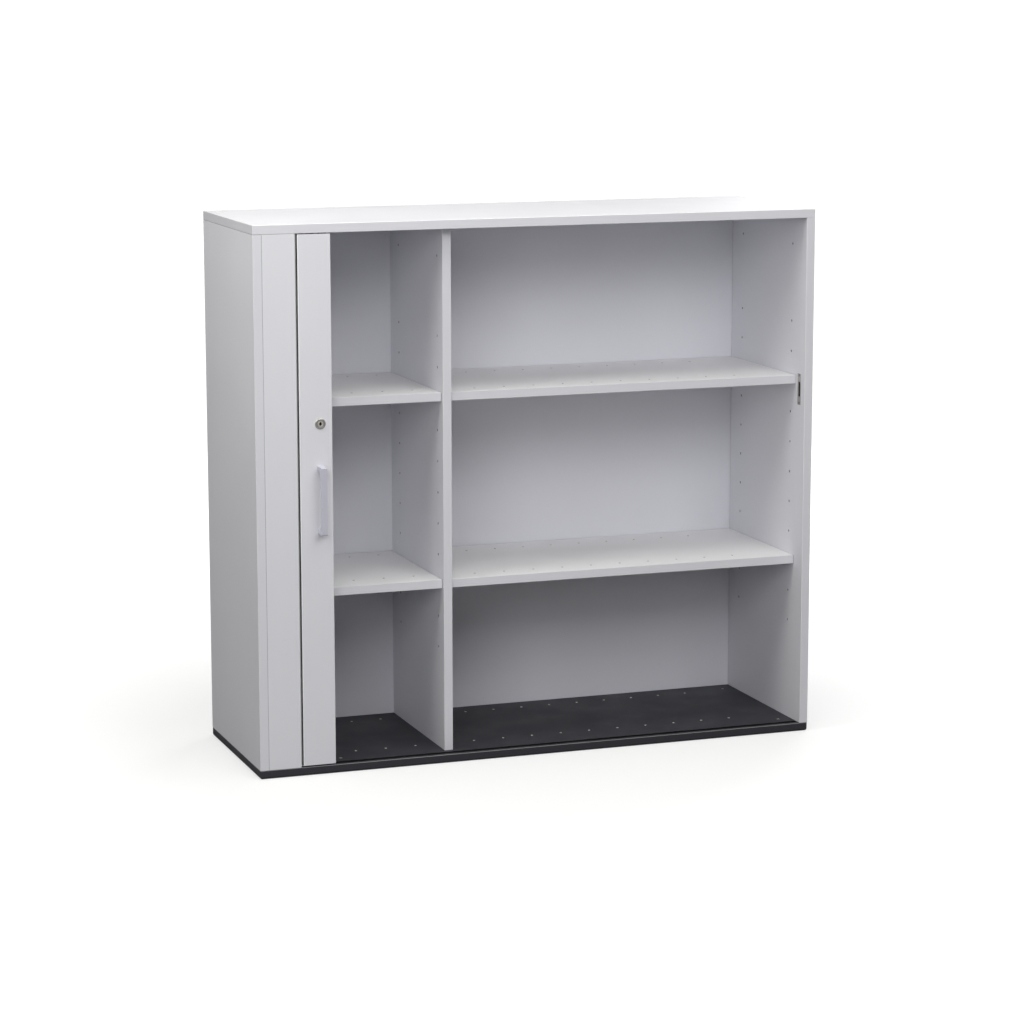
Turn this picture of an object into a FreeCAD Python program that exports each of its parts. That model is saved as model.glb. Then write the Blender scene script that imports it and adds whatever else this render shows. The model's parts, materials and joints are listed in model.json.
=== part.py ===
import FreeCAD, Part
import math
import os

# Tambour door cabinet: a board carcass with an open bay on each side of a divider, and a
# slatted curtain that slides along the front and winds into a pocket at the left end.
# Millimetres, +X right, +Y to the back, +Z up, origin on the floor under the centre.

# Carcass
cabinet_width = 1200.0
cabinet_depth = 390.0
cabinet_height = 1108.0
board = 18.0
back_thickness = 8.0
back_lap = 10.0
upright_setback = 33.5
pocket_width = 119.5
right_bay_width = 765.0
edge_radius = 2.0
top_chamfer = 0.6
base_chamfer = 3.0

# Dowels between the uprights and the base and top
dowel_diameter = 8.0
dowel_in_panel = 10.0
dowel_in_upright = 20.0
dowel_front_inset = 75.0
dowel_rear_inset = 65.0
dowel_play = 0.1
dowel_end_play = 0.5

# Shelves and their pins
shelf_setback = 42.5
shelf_side_gap = 0.7
shelf_back_gap = 2.0
shelf_chamfer = 0.75
shelf_rows = (2, 8)
pin_diameter = 5.0
pin_first_height = 229.5
pin_pitch = 64.0
pin_rows = 11
pin_spare_drop = 59.0
pin_front_inset = 69.0
pin_rear_inset = 65.0
pin_hole_depth = 8.5
pin_reach = 7.0
pin_drop = 2.0
pin_play = 0.2

# Facia and leading board
facia_width = 67.8
facia_thickness = 8.0
facia_top_gap = 0.5
facia_batten = 12.0
lead_gap = 4.2
lead_width = 67.5
lead_bottom_gap = 3.0
lead_top_gap = 2.0
closed_gap = 0.5

# Curtain slats: the hinge line is the row of bead centres
slat_pitch = 25.0
curtain_left_in = 45.0
slat_outside = 4.4
slat_inside = 3.6
bead_radius = 1.5
bead_play = 0.35
socket_wall = 1.2
neck_thickness = 1.2
slat_edge_gap = 0.3
slat_inner_taper = 2.4
mouth_spare = 5.0
cup_corner = 45.0
bead_flats = 4
socket_flats = 4
front_slats = 2
connector_width = 12.0
connector_inset = 4.0
rebate_play = 0.3

# Tracks for the curtain
track_depth = 9.0
track_wall = 1.5
track_outside_play = 0.5
track_inside_play = 1.0
track_spare = 40.0
track_seat = 0.3
track_groove_play = 0.1
turn_radius = 33.0
wall_clear = 1.0
lap_web = 3.0
lap_setback = 45.0
track_laps = 2
slat_top_gap = 1.5
route_step = 1e-9

# Glides at the ends of the leading board
glide_length = 16.0
glide_width = 7.0
glide_plug = 14.0
glide_inset = 5.0
glide_setback = 4.5
glide_play = 0.2

# Handle
handle_inset = 26.0
handle_z = 561.0
handle_length = 136.0
handle_width = 12.0
handle_thickness = 8.0
handle_reach = 28.0
handle_bend = 2.5
handle_gusset = 9.0
handle_hole_spacing = 128.0
handle_screw_diameter = 4.0
handle_screw_bite = 10.0
screw_head_diameter = 8.0
screw_head_height = 2.4
screw_play = 0.25

# Swing-hook lock
lock_inset = 25.0
lock_z = 713.0
rosette_diameter = 22.0
rosette_height = 2.0
barrel_diameter = 18.0
barrel_behind = 3.0
plug_diameter = 12.0
plug_play = 0.15
plug_tail = 6.0
key_slot_width = 1.4
key_slot_height = 8.0
key_slot_depth = 8.0
hook_centre_depth = 27.5
hook_thickness = 3.0
hook_inner_radius = 31.0
hook_outer_radius = 38.0
hook_hub_radius = 9.0
hook_tip_angle = -12.0
hook_arm_angle = 50.0
hook_arm_spread = 12.0
hook_turn = 90.0
clip_radius = 5.0
clip_thickness = 1.2
case_depth = 14.0
case_wall = 1.5
case_play = 1.2
case_below = 14.0
case_flange = 9.0
case_screw_diameter = 3.5
case_screw_bite = 12.0
case_screw_head = 7.0

# Strike plate in the right end
strike_length = 66.0
strike_width = 16.0
strike_thickness = 1.5
strike_slot_low = 1.0
strike_slot_height = 31.0
strike_slot_width = 8.0
strike_screw_spacing = 58.8
strike_screw_diameter = 3.5
strike_screw_length = 12.0
strike_pocket_play = 1.0

# Levelling feet
foot_wall_inset = 26.5
foot_front_inset = 50.5
foot_rear_inset = 41.0
foot_diameter = 30.0
foot_height = 4.8
foot_recess = 0.2
foot_play = 1.5
foot_socket = 3.2
spindle_diameter = 8.0
spindle_top = 1.0
spindle_play = 0.4
sleeve_diameter = 14.0
driver_slot_width = 1.4
driver_slot_depth = 2.8

# Flats that stand for a circle on small repeated pieces
few_flats = 6
small_flats = 8
foot_flats = 12
lock_flats = 20

# Levels and faces that several pieces share
half_width = cabinet_width / 2
front = -cabinet_depth / 2
rear = cabinet_depth / 2
floor_top = board
ceiling = cabinet_height - board
left_face = board - half_width
right_face = half_width - board
back_face = rear - back_thickness
upright_front = front + upright_setback
pocket_right = left_face + pocket_width
inner_face = pocket_right + board
divider_right = right_face - right_bay_width
divider_left = divider_right - board
upright_centres = [x + board / 2 for x in (-half_width, pocket_right, divider_left, right_face)]
shelf_front = front + shelf_setback
pin_columns = (front + pin_front_inset, rear - pin_rear_inset)
pin_heights = [pin_first_height + pin_pitch * row for row in range(pin_rows)]
pin_spare_height = ceiling - pin_spare_drop
facia_right = left_face + facia_width
lead_left = facia_right + lead_gap
lead_right = lead_left + lead_width
lead_back = front + board
lead_bottom = floor_top + lead_bottom_gap
lead_top = ceiling - lead_top_gap
hook_centre = front + hook_centre_depth
handle_x = lead_right - handle_inset
lock_x = lead_right - lock_inset
door_travel = right_face - closed_gap - lead_right
slat_count = math.ceil((door_travel + curtain_left_in) / slat_pitch)

# Curtain section and groove, measured from the hinge line; a slat in a turn is a chord that sags inwards
slat_bend = 2 * math.degrees(math.asin(slat_pitch / 2 / turn_radius))
slat_sag = turn_radius - math.sqrt(turn_radius**2 - (slat_pitch / 2)**2)
channel_outside = slat_outside + track_outside_play
channel_inside = slat_inside + slat_sag + track_inside_play
groove_outside = channel_outside + track_wall
groove_inside = channel_inside + track_wall
lap_step = groove_inside + lap_web + groove_outside
hinge_y = front + facia_thickness + groove_outside
slat_bottom = floor_top - track_depth + track_wall + track_seat
slat_top = ceiling + track_depth - track_wall - slat_top_gap

vec = FreeCAD.Vector
UP = vec(0, 0, 1)


def block(x_span, y_span, z_span):
    """A box from three (low, high) spans."""
    size = [high - low for low, high in (x_span, y_span, z_span)]
    return Part.makeBox(*size, vec(x_span[0], y_span[0], z_span[0]))


def prism(points, z_span):
    """An upright solid on a closed outline of (x, y) points."""
    corners = [vec(x, y, z_span[0]) for x, y in points]
    face = Part.Face(Part.makePolygon(corners + corners[:1]))
    return face.extrude(UP * (z_span[1] - z_span[0]))


def bar(diameter, start, along, flats):
    """A bar from start, with along as its axis and length, and flats that touch its circle."""
    aim = vec(along).normalize()
    up = vec(1, 0, 0) if abs(aim.z) > 0.5 else UP
    side = aim.cross(up)
    radius = diameter / 2 / math.cos(math.pi / flats)
    turns = [math.pi * (2 * step + 1) / flats for step in range(flats)]
    ring = [start + (up * math.cos(turn) + side * math.sin(turn)) * radius for turn in turns]
    return Part.Face(Part.makePolygon(ring + ring[:1])).extrude(along)


def chosen_edges(solid, keep):
    """The edges that keep accepts, given the lowest and highest corner of each."""
    edges = []
    for edge in solid.Edges:
        box = edge.BoundBox
        if keep(vec(box.XMin, box.YMin, box.ZMin), vec(box.XMax, box.YMax, box.ZMax)):
            edges.append(edge)
    return edges


def near(a, b):
    return abs(a - b) < 1e-6


def polar(radius, degrees):
    angle = math.radians(degrees)
    return (radius * math.cos(angle), radius * math.sin(angle))


def save(name, *solids):
    shape = solids[0] if len(solids) == 1 else Part.makeCompound(list(solids))
    shape.exportStep(f"parts/{name}.step")


# Route of the curtain

def curtain_corners():
    """Corners of the hinge line in plan, from the leading board inwards round the pocket, lap by lap."""
    left = left_face + wall_clear + groove_outside
    back = back_face - wall_clear - groove_outside
    right = pocket_right - wall_clear - groove_outside
    corners = [(lead_left + connector_inset, hinge_y)]
    near_side = hinge_y
    for lap in range(track_laps):
        inset = lap * lap_step
        corners += [(left + inset, near_side), (left + inset, back - inset), (right - inset, back - inset)]
        near_side = front + lap_setback + inset
        corners.append((right - inset, near_side))
    return [vec(x, y, 0) for x, y in corners]


def route_pieces(corners):
    """Straight runs as (start, end), and turns as (centre, first and last direction, angle)."""
    pieces = []
    start = corners[0]
    for before, corner, after in zip(corners, corners[1:], corners[2:]):
        arrive = (corner - before).normalize()
        leave = (after - corner).normalize()
        centre = corner + (leave - arrive) * turn_radius
        pieces.append(("run", start, corner - arrive * turn_radius))
        pieces.append(("turn", centre, leave * -1, arrive, math.pi / 2))
        start = corner + leave * turn_radius
    pieces.append(("run", start, corners[-1]))
    return pieces


def piece_length(piece):
    if piece[0] == "run":
        return (piece[2] - piece[1]).Length
    return turn_radius * piece[4]


def shortened(piece, share):
    if piece[0] == "run":
        return ("run", piece[1], piece[1] + (piece[2] - piece[1]) * share)
    return piece[:4] + (piece[4] * share,)


def trimmed(pieces, length):
    """The part of a route up to this length."""
    kept = []
    for piece in pieces:
        whole = piece_length(piece)
        if length <= whole:
            return kept + [shortened(piece, length / whole)]
        kept.append(piece)
        length -= whole
    return kept


def on_turn(piece, offset, share):
    """A point a share of the way round a turn, offset outwards from the hinge line."""
    angle = share * piece[4]
    direction = piece[2] * math.cos(angle) + piece[3] * math.sin(angle)
    return piece[1] + direction * (turn_radius + offset)


def offset_edges(pieces, offset):
    """The route's edges, moved outwards by offset."""
    edges = []
    for piece in pieces:
        if piece[0] == "run":
            heading = (piece[2] - piece[1]).normalize()
            aside = vec(-heading.y, heading.x, 0) * offset
            edges.append(Part.LineSegment(piece[1] + aside, piece[2] + aside).toShape())
        else:
            points = [on_turn(piece, offset, share) for share in (0, 0.5, 1)]
            edges.append(Part.Arc(*points).toShape())
    return edges


def band(pieces, inside, outside, z_span):
    """A strip that follows the route between two offsets from the hinge line."""
    outer = offset_edges(pieces, outside)
    inner = offset_edges(pieces, -inside)
    ends = []
    for place in (0, -1):
        pair = [edges[place].Vertexes[place].Point for edges in (outer, inner)]
        ends.append(Part.LineSegment(*pair).toShape())
    wire = Part.Wire(Part.__sortEdges__(outer + inner + ends))
    strip = Part.Face(wire).extrude(UP * (z_span[1] - z_span[0]))
    strip.translate(vec(0, 0, z_span[0]))
    return strip


def point_along(pieces, distance):
    """The point on the hinge line this far from its start."""
    for piece in pieces:
        length = piece_length(piece)
        if distance <= length:
            break
        distance -= length
    share = distance / length
    if piece[0] == "run":
        return piece[1] + (piece[2] - piece[1]) * share
    return on_turn(piece, 0, share)


def hinge_points(pieces):
    """Bead centres: points on the route that are one slat pitch apart in a straight line."""
    points = [point_along(pieces, 0)]
    reached = 0.0
    for _ in range(slat_count):
        low = reached
        high = reached + slat_pitch * math.pi / 2
        while high - low > route_step:
            middle = (low + high) / 2
            if (point_along(pieces, middle) - points[-1]).Length < slat_pitch:
                low = middle
            else:
                high = middle
        reached = high
        points.append(point_along(pieces, reached))
    return points


route = trimmed(route_pieces(curtain_corners()), slat_pitch * slat_count + track_spare)
track_route = [("run", vec(right_face, hinge_y, 0), route[0][2])] + route[1:]

# Slat section: the bead is at the near end, the socket for the next bead at the far end

socket_radius = bead_radius + bead_play
boss_radius = socket_radius + socket_wall
cup_radius = boss_radius + bead_play


def bead_outline():
    """From the front lip, round the cup for the neighbour's socket, to the inner face."""
    neck = neck_thickness / 2
    lean = math.degrees(math.asin(neck / bead_radius))
    stem = math.sqrt(cup_radius**2 - neck**2)
    points = [(slat_edge_gap, slat_outside), (slat_edge_gap, cup_radius)]
    step = (360 - 2 * lean) / bead_flats
    points += [polar(cup_radius, cup_corner), (stem, neck)]
    points += [polar(bead_radius, lean + step * side) for side in range(bead_flats + 1)]
    return points + [(stem, -neck), (slat_inner_taper, -slat_inside)]


def socket_outline(far):
    """From the inner face, round the socket about the point far along, to the front face."""
    upper = math.degrees(math.asin(neck_thickness / 2 / socket_radius)) + mouth_spare
    lower = -upper - slat_bend
    wrap = 360 - upper + lower
    corners = [lower - wrap * (step + 0.5) / socket_flats for step in range(socket_flats)]
    reach = socket_radius / math.cos(math.radians(wrap / 2 / socket_flats))
    points = [(-slat_inner_taper, -slat_inside), polar(boss_radius, lower), polar(socket_radius, lower)]
    points += [polar(reach, angle) for angle in corners]
    points += [polar(socket_radius, upper), polar(boss_radius, upper)]
    points += [(-slat_edge_gap, boss_radius), (-slat_edge_gap, slat_outside)]
    return [(far + x, y) for x, y in points]


def placed(points, start, end):
    """Section points turned so that they run from start to end, front face outwards."""
    along = (end - start).normalize()
    aside = vec(-along.y, along.x, 0)
    spots = [start + along * x + aside * y for x, y in points]
    return [(spot.x, spot.y) for spot in spots]


def slat(start, end):
    outline = bead_outline() + socket_outline(slat_pitch)
    return prism(placed(outline, start, end), (slat_bottom, slat_top))


def connector(start):
    """Strip in the leading board that holds the first slat's bead."""
    butt = [(-connector_width, slat_outside), (-connector_width, -slat_inside)]
    outline = butt + socket_outline(0)
    return prism(placed(outline, start, start - vec(1, 0, 0)), (lead_bottom, lead_top))


# Boards

def dowels(centres, play, end_play):
    """Dowels, or with play their holes, at the foot and the head of the uprights at these centres."""
    bars = []
    length = UP * (dowel_in_panel + dowel_in_upright + 2 * end_play)
    starts = (floor_top - dowel_in_panel - end_play, ceiling - dowel_in_upright - end_play)
    for x in centres:
        for y in (front + dowel_front_inset, rear - dowel_rear_inset):
            bars += [bar(dowel_diameter + play, vec(x, y, z), length, few_flats) for z in starts]
    return bars


def dowel_holes(*centres):
    return dowels(centres, dowel_play, dowel_end_play)


def groove(z_span):
    """Cutter for a curtain track in the base or the top."""
    sides = (groove_inside + track_groove_play, groove_outside + track_groove_play)
    return band(track_route, *sides, z_span)


def back_rebate():
    x_span = (left_face - back_lap, right_face + back_lap)
    return block(x_span, (back_face, rear), (floor_top - back_lap, ceiling + back_lap))


def foot_spots():
    rows = (front + foot_front_inset, rear - foot_rear_inset)
    columns = (inner_face + foot_wall_inset, right_face - foot_wall_inset)
    return [(x, y) for x in columns for y in rows]


def base_panel():
    solid = block((-half_width, half_width), (front, rear), (0, board))
    solid = solid.makeChamfer(base_chamfer, chosen_edges(solid, lambda low, high: high.z < board / 2))
    solid = solid.cut(groove((floor_top - track_depth, floor_top))).cut(back_rebate())
    solid = solid.cut(dowel_holes(*upright_centres))
    shoulder = foot_recess + foot_height + foot_recess
    for x, y in foot_spots():
        solid = solid.cut(bar(sleeve_diameter, vec(x, y, 0), UP * board, foot_flats))
        solid = solid.cut(bar(foot_diameter + 2 * foot_play, vec(x, y, 0), UP * shoulder, foot_flats))
    return solid


def top_panel():
    solid = block((-half_width, half_width), (front, rear), (ceiling, cabinet_height))
    middle = ceiling + board / 2
    solid = solid.makeChamfer(top_chamfer, chosen_edges(solid, lambda low, high: low.z > middle))
    solid = solid.cut(groove((ceiling, ceiling + track_depth))).cut(back_rebate())
    return solid.cut(dowel_holes(*upright_centres))


def pin_holes(x_span):
    heights = pin_heights + [pin_spare_height]
    wide = pin_diameter + pin_play
    along = vec(x_span[1] - x_span[0], 0, 0)
    spots = [vec(x_span[0], y, z) for y in pin_columns for z in heights]
    return [bar(wide, spot, along, few_flats) for spot in spots]


def end_panel(x_span):
    solid = block(x_span, (front, rear), (floor_top, ceiling))
    return solid.cut(back_rebate()).cut(dowel_holes(sum(x_span) / 2))


def right_side_panel():
    solid = end_panel((right_face, half_width))
    solid = solid.cut(pin_holes((right_face, right_face + pin_hole_depth)))
    return solid.cut([strike_bed(), strike_pocket()] + strike_holes(strike_screw_diameter + screw_play))


def upright(x_span, hole_span):
    solid = block(x_span, (upright_front, back_face), (floor_top, ceiling))
    return solid.cut(pin_holes(hole_span)).cut(dowel_holes(sum(x_span) / 2))


def back_panel():
    x_span = (left_face - back_lap, right_face + back_lap)
    return block(x_span, (back_face, rear), (floor_top - back_lap, ceiling + back_lap))


def shelf(x_span, row):
    """Shelf that drops over its four pins, which sit in notches under its ends."""
    left, right = x_span[0] + shelf_side_gap, x_span[1] - shelf_side_gap
    low = pin_heights[row] - pin_drop
    solid = block((left, right), (shelf_front, back_face - shelf_back_gap), (low, low + board))
    edges = chosen_edges(solid, lambda a, b: near(b.y, shelf_front) and b.x - a.x > board)
    solid = solid.makeChamfer(shelf_chamfer, edges)
    half = pin_diameter / 2 / math.cos(math.pi / few_flats) + pin_play
    notch_top = pin_heights[row] + pin_diameter / 2
    for y in pin_columns:
        for notch in ((left, left + pin_reach), (right - pin_reach, right)):
            solid = solid.cut(block(notch, (y - half, y + half), (low, notch_top)))
    return solid


def shelf_pins(x_span):
    """Pins at both sides of a bay, for each of its shelves."""
    pins = []
    for row in shelf_rows:
        for y in pin_columns:
            for wall, into in ((x_span[0], -1), (x_span[1], 1)):
                start = vec(wall + into * (pin_hole_depth - pin_play), y, pin_heights[row])
                along = vec(-into * (pin_hole_depth - pin_play + pin_reach), 0, 0)
                pins.append(bar(pin_diameter, start, along, few_flats))
    return pins


# Facia and leading board

def facia_panel():
    z_span = (floor_top, ceiling - facia_top_gap)
    solid = block((left_face, facia_right), (front, front + facia_thickness), z_span)
    edges = chosen_edges(solid, lambda low, high: near(low.x, facia_right) and near(high.y, front))
    return solid.makeFillet(edge_radius, edges)


def corner_batten():
    y_low = front + facia_thickness
    return block((left_face, left_face + facia_batten), (y_low, y_low + facia_batten),
                 (floor_top, ceiling))


def glide_spans():
    """Where the glides sit along the leading board, and across it."""
    rebate_right = lead_left + connector_inset + connector_width
    left = (rebate_right + glide_inset, lead_right - glide_inset - glide_length)
    y_low = front + facia_thickness + glide_setback
    return [(x, x + glide_length) for x in left], (y_low, y_low + glide_width)


def lead_board():
    solid = block((lead_left, lead_right), (front, lead_back), (lead_bottom, lead_top))
    edges = chosen_edges(solid, lambda low, high: near(high.y, front) and high.z - low.z > board)
    solid = solid.makeFillet(edge_radius, edges)
    rebate_right = lead_left + connector_inset + connector_width
    rebate_front = hinge_y - slat_outside - rebate_play
    solid = solid.cut(block((lead_left, rebate_right), (rebate_front, lead_back),
                            (lead_bottom, lead_top)))
    x_spans, y_span = glide_spans()
    y_wide = (y_span[0] - glide_play, y_span[1] + glide_play)
    for x_span in x_spans:
        x_wide = (x_span[0] - glide_play, x_span[1] + glide_play)
        solid = solid.cut(block(x_wide, y_wide, (lead_bottom, lead_bottom + glide_plug)))
        solid = solid.cut(block(x_wide, y_wide, (lead_top - glide_plug, lead_top)))
    through = vec(0, board, 0)
    solid = solid.cut(bar(barrel_diameter + 2 * plug_play, vec(lock_x, front, lock_z), through, lock_flats))
    wide = handle_screw_diameter + screw_play
    for z in handle_screw_heights():
        solid = solid.cut(bar(wide, vec(handle_x, front, z), through, small_flats))
    wide = case_screw_diameter + screw_play
    for x, z in case_screw_spots():
        start = vec(x, lead_back - case_screw_bite, z)
        solid = solid.cut(bar(wide, start, vec(0, case_screw_bite, 0), small_flats))
    return solid


def glides(upper):
    x_spans, y_span = glide_spans()
    if upper:
        z_span = (lead_top - glide_plug, slat_top)
    else:
        z_span = (slat_bottom, lead_bottom + glide_plug)
    return [block(x_span, y_span, z_span) for x_span in x_spans]


# Handle

def handle_screw_heights():
    return (handle_z - handle_hole_spacing / 2, handle_z + handle_hole_spacing / 2)


def bow_handle():
    """Square bow: two legs and a grip, with eased outer corners and a gusset inside each corner."""
    half = handle_length / 2
    x_span = (handle_x - handle_width / 2, handle_x + handle_width / 2)
    solid = block(x_span, (front - handle_reach, front), (handle_z - half, handle_z + half))
    grip = front - handle_reach
    corners = chosen_edges(solid, lambda low, high: near(high.y, grip) and near(low.z, high.z))
    solid = solid.makeFillet(handle_bend, corners)
    inner = half - handle_thickness
    inside = grip + handle_thickness
    gap = block(x_span, (inside, front), (handle_z - inner, handle_z + inner))
    corners = chosen_edges(gap, lambda low, high: near(high.y, inside) and near(low.z, high.z))
    solid = solid.cut(gap.makeChamfer(handle_gusset, corners))
    wide = handle_screw_diameter + screw_play
    for z in handle_screw_heights():
        bite = bar(wide, vec(handle_x, front, z), vec(0, -handle_screw_bite, 0), small_flats)
        solid = solid.cut(bite)
    return solid


def pan_screw(start, along, diameter, head):
    """Screw from under its head along its shank, with the head on the near side of start."""
    lift = vec(along).normalize() * screw_head_height
    shank = bar(diameter, start, along, small_flats)
    return shank.fuse(bar(head, start - lift, lift, small_flats))


def handle_screws():
    reach = board + handle_screw_bite - 2 * screw_play
    spots = [vec(handle_x, lead_back, z) for z in handle_screw_heights()]
    return [pan_screw(spot, vec(0, -reach, 0), handle_screw_diameter, screw_head_diameter) for spot in spots]


# Lock

case_back = lead_back + case_depth
case_left = lock_x - hook_outer_radius * math.cos(math.radians(180 - hook_turn - hook_arm_angle
                                                               - hook_arm_spread)) - case_play - case_wall
case_right = lead_right - case_wall
case_low = lock_z - case_below
case_high = lock_z + hook_outer_radius + case_play + case_wall


def case_screw_spots():
    middle = (case_left + case_right) / 2
    return [(middle, case_low - case_flange / 2), (middle, case_high + case_flange / 2)]


def lock_case():
    """Box that is open towards the board, with a slot for the hook and a flange at each end."""
    solid = block((case_left, case_right), (lead_back, case_back), (case_low, case_high))
    inside = block((case_left + case_wall, case_right - case_wall), (lead_back, case_back - case_wall),
                   (case_low + case_wall, case_high - case_wall))
    flange = block((case_left, case_right), (lead_back, lead_back + case_wall),
                   (case_low - case_flange, case_high + case_flange))
    half = hook_thickness / 2 + strike_pocket_play
    slot = block((case_right - case_wall, case_right), (hook_centre - half, hook_centre + half),
                 (case_low + case_wall, case_high - case_wall))
    solid = solid.fuse(flange).cut(inside).cut(slot)
    for x, z in case_screw_spots():
        wide = case_screw_diameter + screw_play
        solid = solid.cut(bar(wide, vec(x, lead_back, z), vec(0, case_wall, 0), small_flats))
    return solid.removeSplitter()


def case_screws():
    reach = case_wall + case_screw_bite - 2 * screw_play
    spots = [vec(x, lead_back + case_wall, z) for x, z in case_screw_spots()]
    return [pan_screw(spot, vec(0, -reach, 0), case_screw_diameter, case_screw_head) for spot in spots]


def lock_barrel():
    """Rosette and sleeve in one, with the bore for the plug."""
    axis = vec(0, 1, 0)
    start = vec(lock_x, front - rosette_height, lock_z)
    whole = axis * (rosette_height + board + barrel_behind)
    flange = bar(rosette_diameter, start, axis * rosette_height, lock_flats)
    sleeve = bar(barrel_diameter, start, whole, lock_flats)
    bore = bar(plug_diameter + 2 * plug_play, start, whole, lock_flats)
    return flange.fuse(sleeve).cut(bore).removeSplitter()


hook_front = hook_centre - hook_thickness / 2
hook_back = hook_centre + hook_thickness / 2


def lock_plug():
    start = vec(lock_x, front - rosette_height, lock_z)
    solid = bar(plug_diameter, start, vec(0, hook_front - start.y, 0), lock_flats)
    half = plug_tail / 2
    tail = block((lock_x - half, lock_x + half), (hook_front, hook_back + clip_thickness),
                 (lock_z - half, lock_z + half))
    slot = block((lock_x - key_slot_width / 2, lock_x + key_slot_width / 2),
                 (start.y, start.y + key_slot_depth),
                 (lock_z - key_slot_height / 2, lock_z + key_slot_height / 2))
    return solid.fuse(tail).cut(slot)


def sector(inner, outer, low_angle, high_angle):
    """Flat ring sector about the lock's axis, in the hook's plane."""
    def spot(radius, angle):
        x, z = polar(radius, angle)
        return vec(lock_x + x, hook_front, lock_z + z)
    middle = (low_angle + high_angle) / 2
    rims = [Part.Arc(*[spot(r, a) for a in (low_angle, middle, high_angle)]) for r in (inner, outer)]
    sides = [Part.LineSegment(spot(inner, a), spot(outer, a)) for a in (low_angle, high_angle)]
    wire = Part.Wire(Part.__sortEdges__([edge.toShape() for edge in rims + sides]))
    return Part.Face(wire).extrude(vec(0, hook_thickness, 0))


def lock_hook():
    """Claw on a hub, drawn turned back into the case."""
    claw = sector(hook_inner_radius, hook_outer_radius, hook_tip_angle + hook_turn,
                  hook_arm_angle + hook_turn)
    arm = sector(hook_hub_radius / 2, hook_outer_radius, hook_arm_angle + hook_turn,
                 hook_arm_angle + hook_arm_spread + hook_turn)
    hub = bar(2 * hook_hub_radius, vec(lock_x, hook_front, lock_z), vec(0, hook_thickness, 0), lock_flats)
    half = plug_tail / 2 + plug_play
    hole = block((lock_x - half, lock_x + half), (hook_front, hook_back), (lock_z - half, lock_z + half))
    return hub.fuse([arm, claw]).cut(hole).removeSplitter()


def hook_clip():
    """Retaining clip on the plug's square tail."""
    disc = bar(2 * clip_radius, vec(lock_x, hook_back, lock_z), vec(0, clip_thickness, 0), lock_flats)
    half = plug_tail / 2 + plug_play
    y_span = (hook_back, hook_back + clip_thickness)
    return disc.cut(block((lock_x - half, lock_x + half), y_span, (lock_z - half, lock_z + half)))


# Strike

strike_slot_z = (lock_z + strike_slot_low, lock_z + strike_slot_low + strike_slot_height)
strike_middle = sum(strike_slot_z) / 2


def strike_bed():
    half_w, half_l = strike_width / 2, strike_length / 2
    return block((right_face, right_face + strike_thickness), (hook_centre - half_w, hook_centre + half_w),
                 (strike_middle - half_l, strike_middle + half_l))


def strike_pocket():
    """Hollow behind the strike plate for the claw."""
    half = strike_slot_width / 2
    depth = lock_x + door_travel + hook_outer_radius + strike_pocket_play
    low = lock_z + hook_outer_radius * math.sin(math.radians(hook_tip_angle)) - strike_pocket_play
    return block((right_face, depth), (hook_centre - half, hook_centre + half), (low, strike_slot_z[1]))


def strike_holes(diameter):
    heights = (strike_middle - strike_screw_spacing / 2, strike_middle + strike_screw_spacing / 2)
    reach = vec(strike_screw_length, 0, 0)
    return [bar(diameter, vec(right_face, hook_centre, z), reach, small_flats) for z in heights]


def strike_plate():
    half = strike_slot_width / 2
    slot = block((right_face, right_face + strike_thickness), (hook_centre - half, hook_centre + half),
                 strike_slot_z)
    return strike_bed().cut([slot] + strike_holes(strike_screw_diameter + screw_play))


def strike_screws():
    return strike_holes(strike_screw_diameter)


# Curtain tracks

def track(upper):
    """Channel that lines the groove, floor first and then its two walls."""
    deep = track_depth - track_wall
    if upper:
        floor_span = (ceiling + deep, ceiling + track_depth)
        wall_span = (ceiling, ceiling + deep)
    else:
        floor_span = (floor_top - track_depth, floor_top - deep)
        wall_span = (floor_top - deep, floor_top)
    solid = band(track_route, groove_inside, groove_outside, floor_span)
    outer = band(track_route, -channel_outside, groove_outside, wall_span)
    inner = band(track_route, groove_inside, -channel_inside, wall_span)
    return solid.fuse([outer, inner]).removeSplitter()


# Levelling feet

spindle_bore = spindle_diameter + 2 * spindle_play


def foot_pad(x, y):
    solid = bar(foot_diameter, vec(x, y, foot_recess), UP * foot_height, foot_flats)
    start = vec(x, y, foot_recess + foot_height - foot_socket)
    return solid.cut(bar(spindle_bore, start, UP * foot_socket, foot_flats))


def foot_spindle(x, y):
    low = foot_recess + foot_height - foot_socket + spindle_play
    high = floor_top - spindle_top
    solid = Part.makeCylinder(spindle_diameter / 2, high - low, vec(x, y, low))
    half = driver_slot_width / 2
    slot = block((x - spindle_diameter, x + spindle_diameter), (y - half, y + half),
                 (high - driver_slot_depth, high))
    return solid.cut(slot)


def foot_sleeve(x, y):
    low = foot_recess + foot_height + foot_recess
    length = UP * (floor_top - low)
    solid = bar(sleeve_diameter, vec(x, y, low), length, foot_flats)
    return solid.cut(bar(spindle_bore, vec(x, y, low), length, foot_flats))


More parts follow.
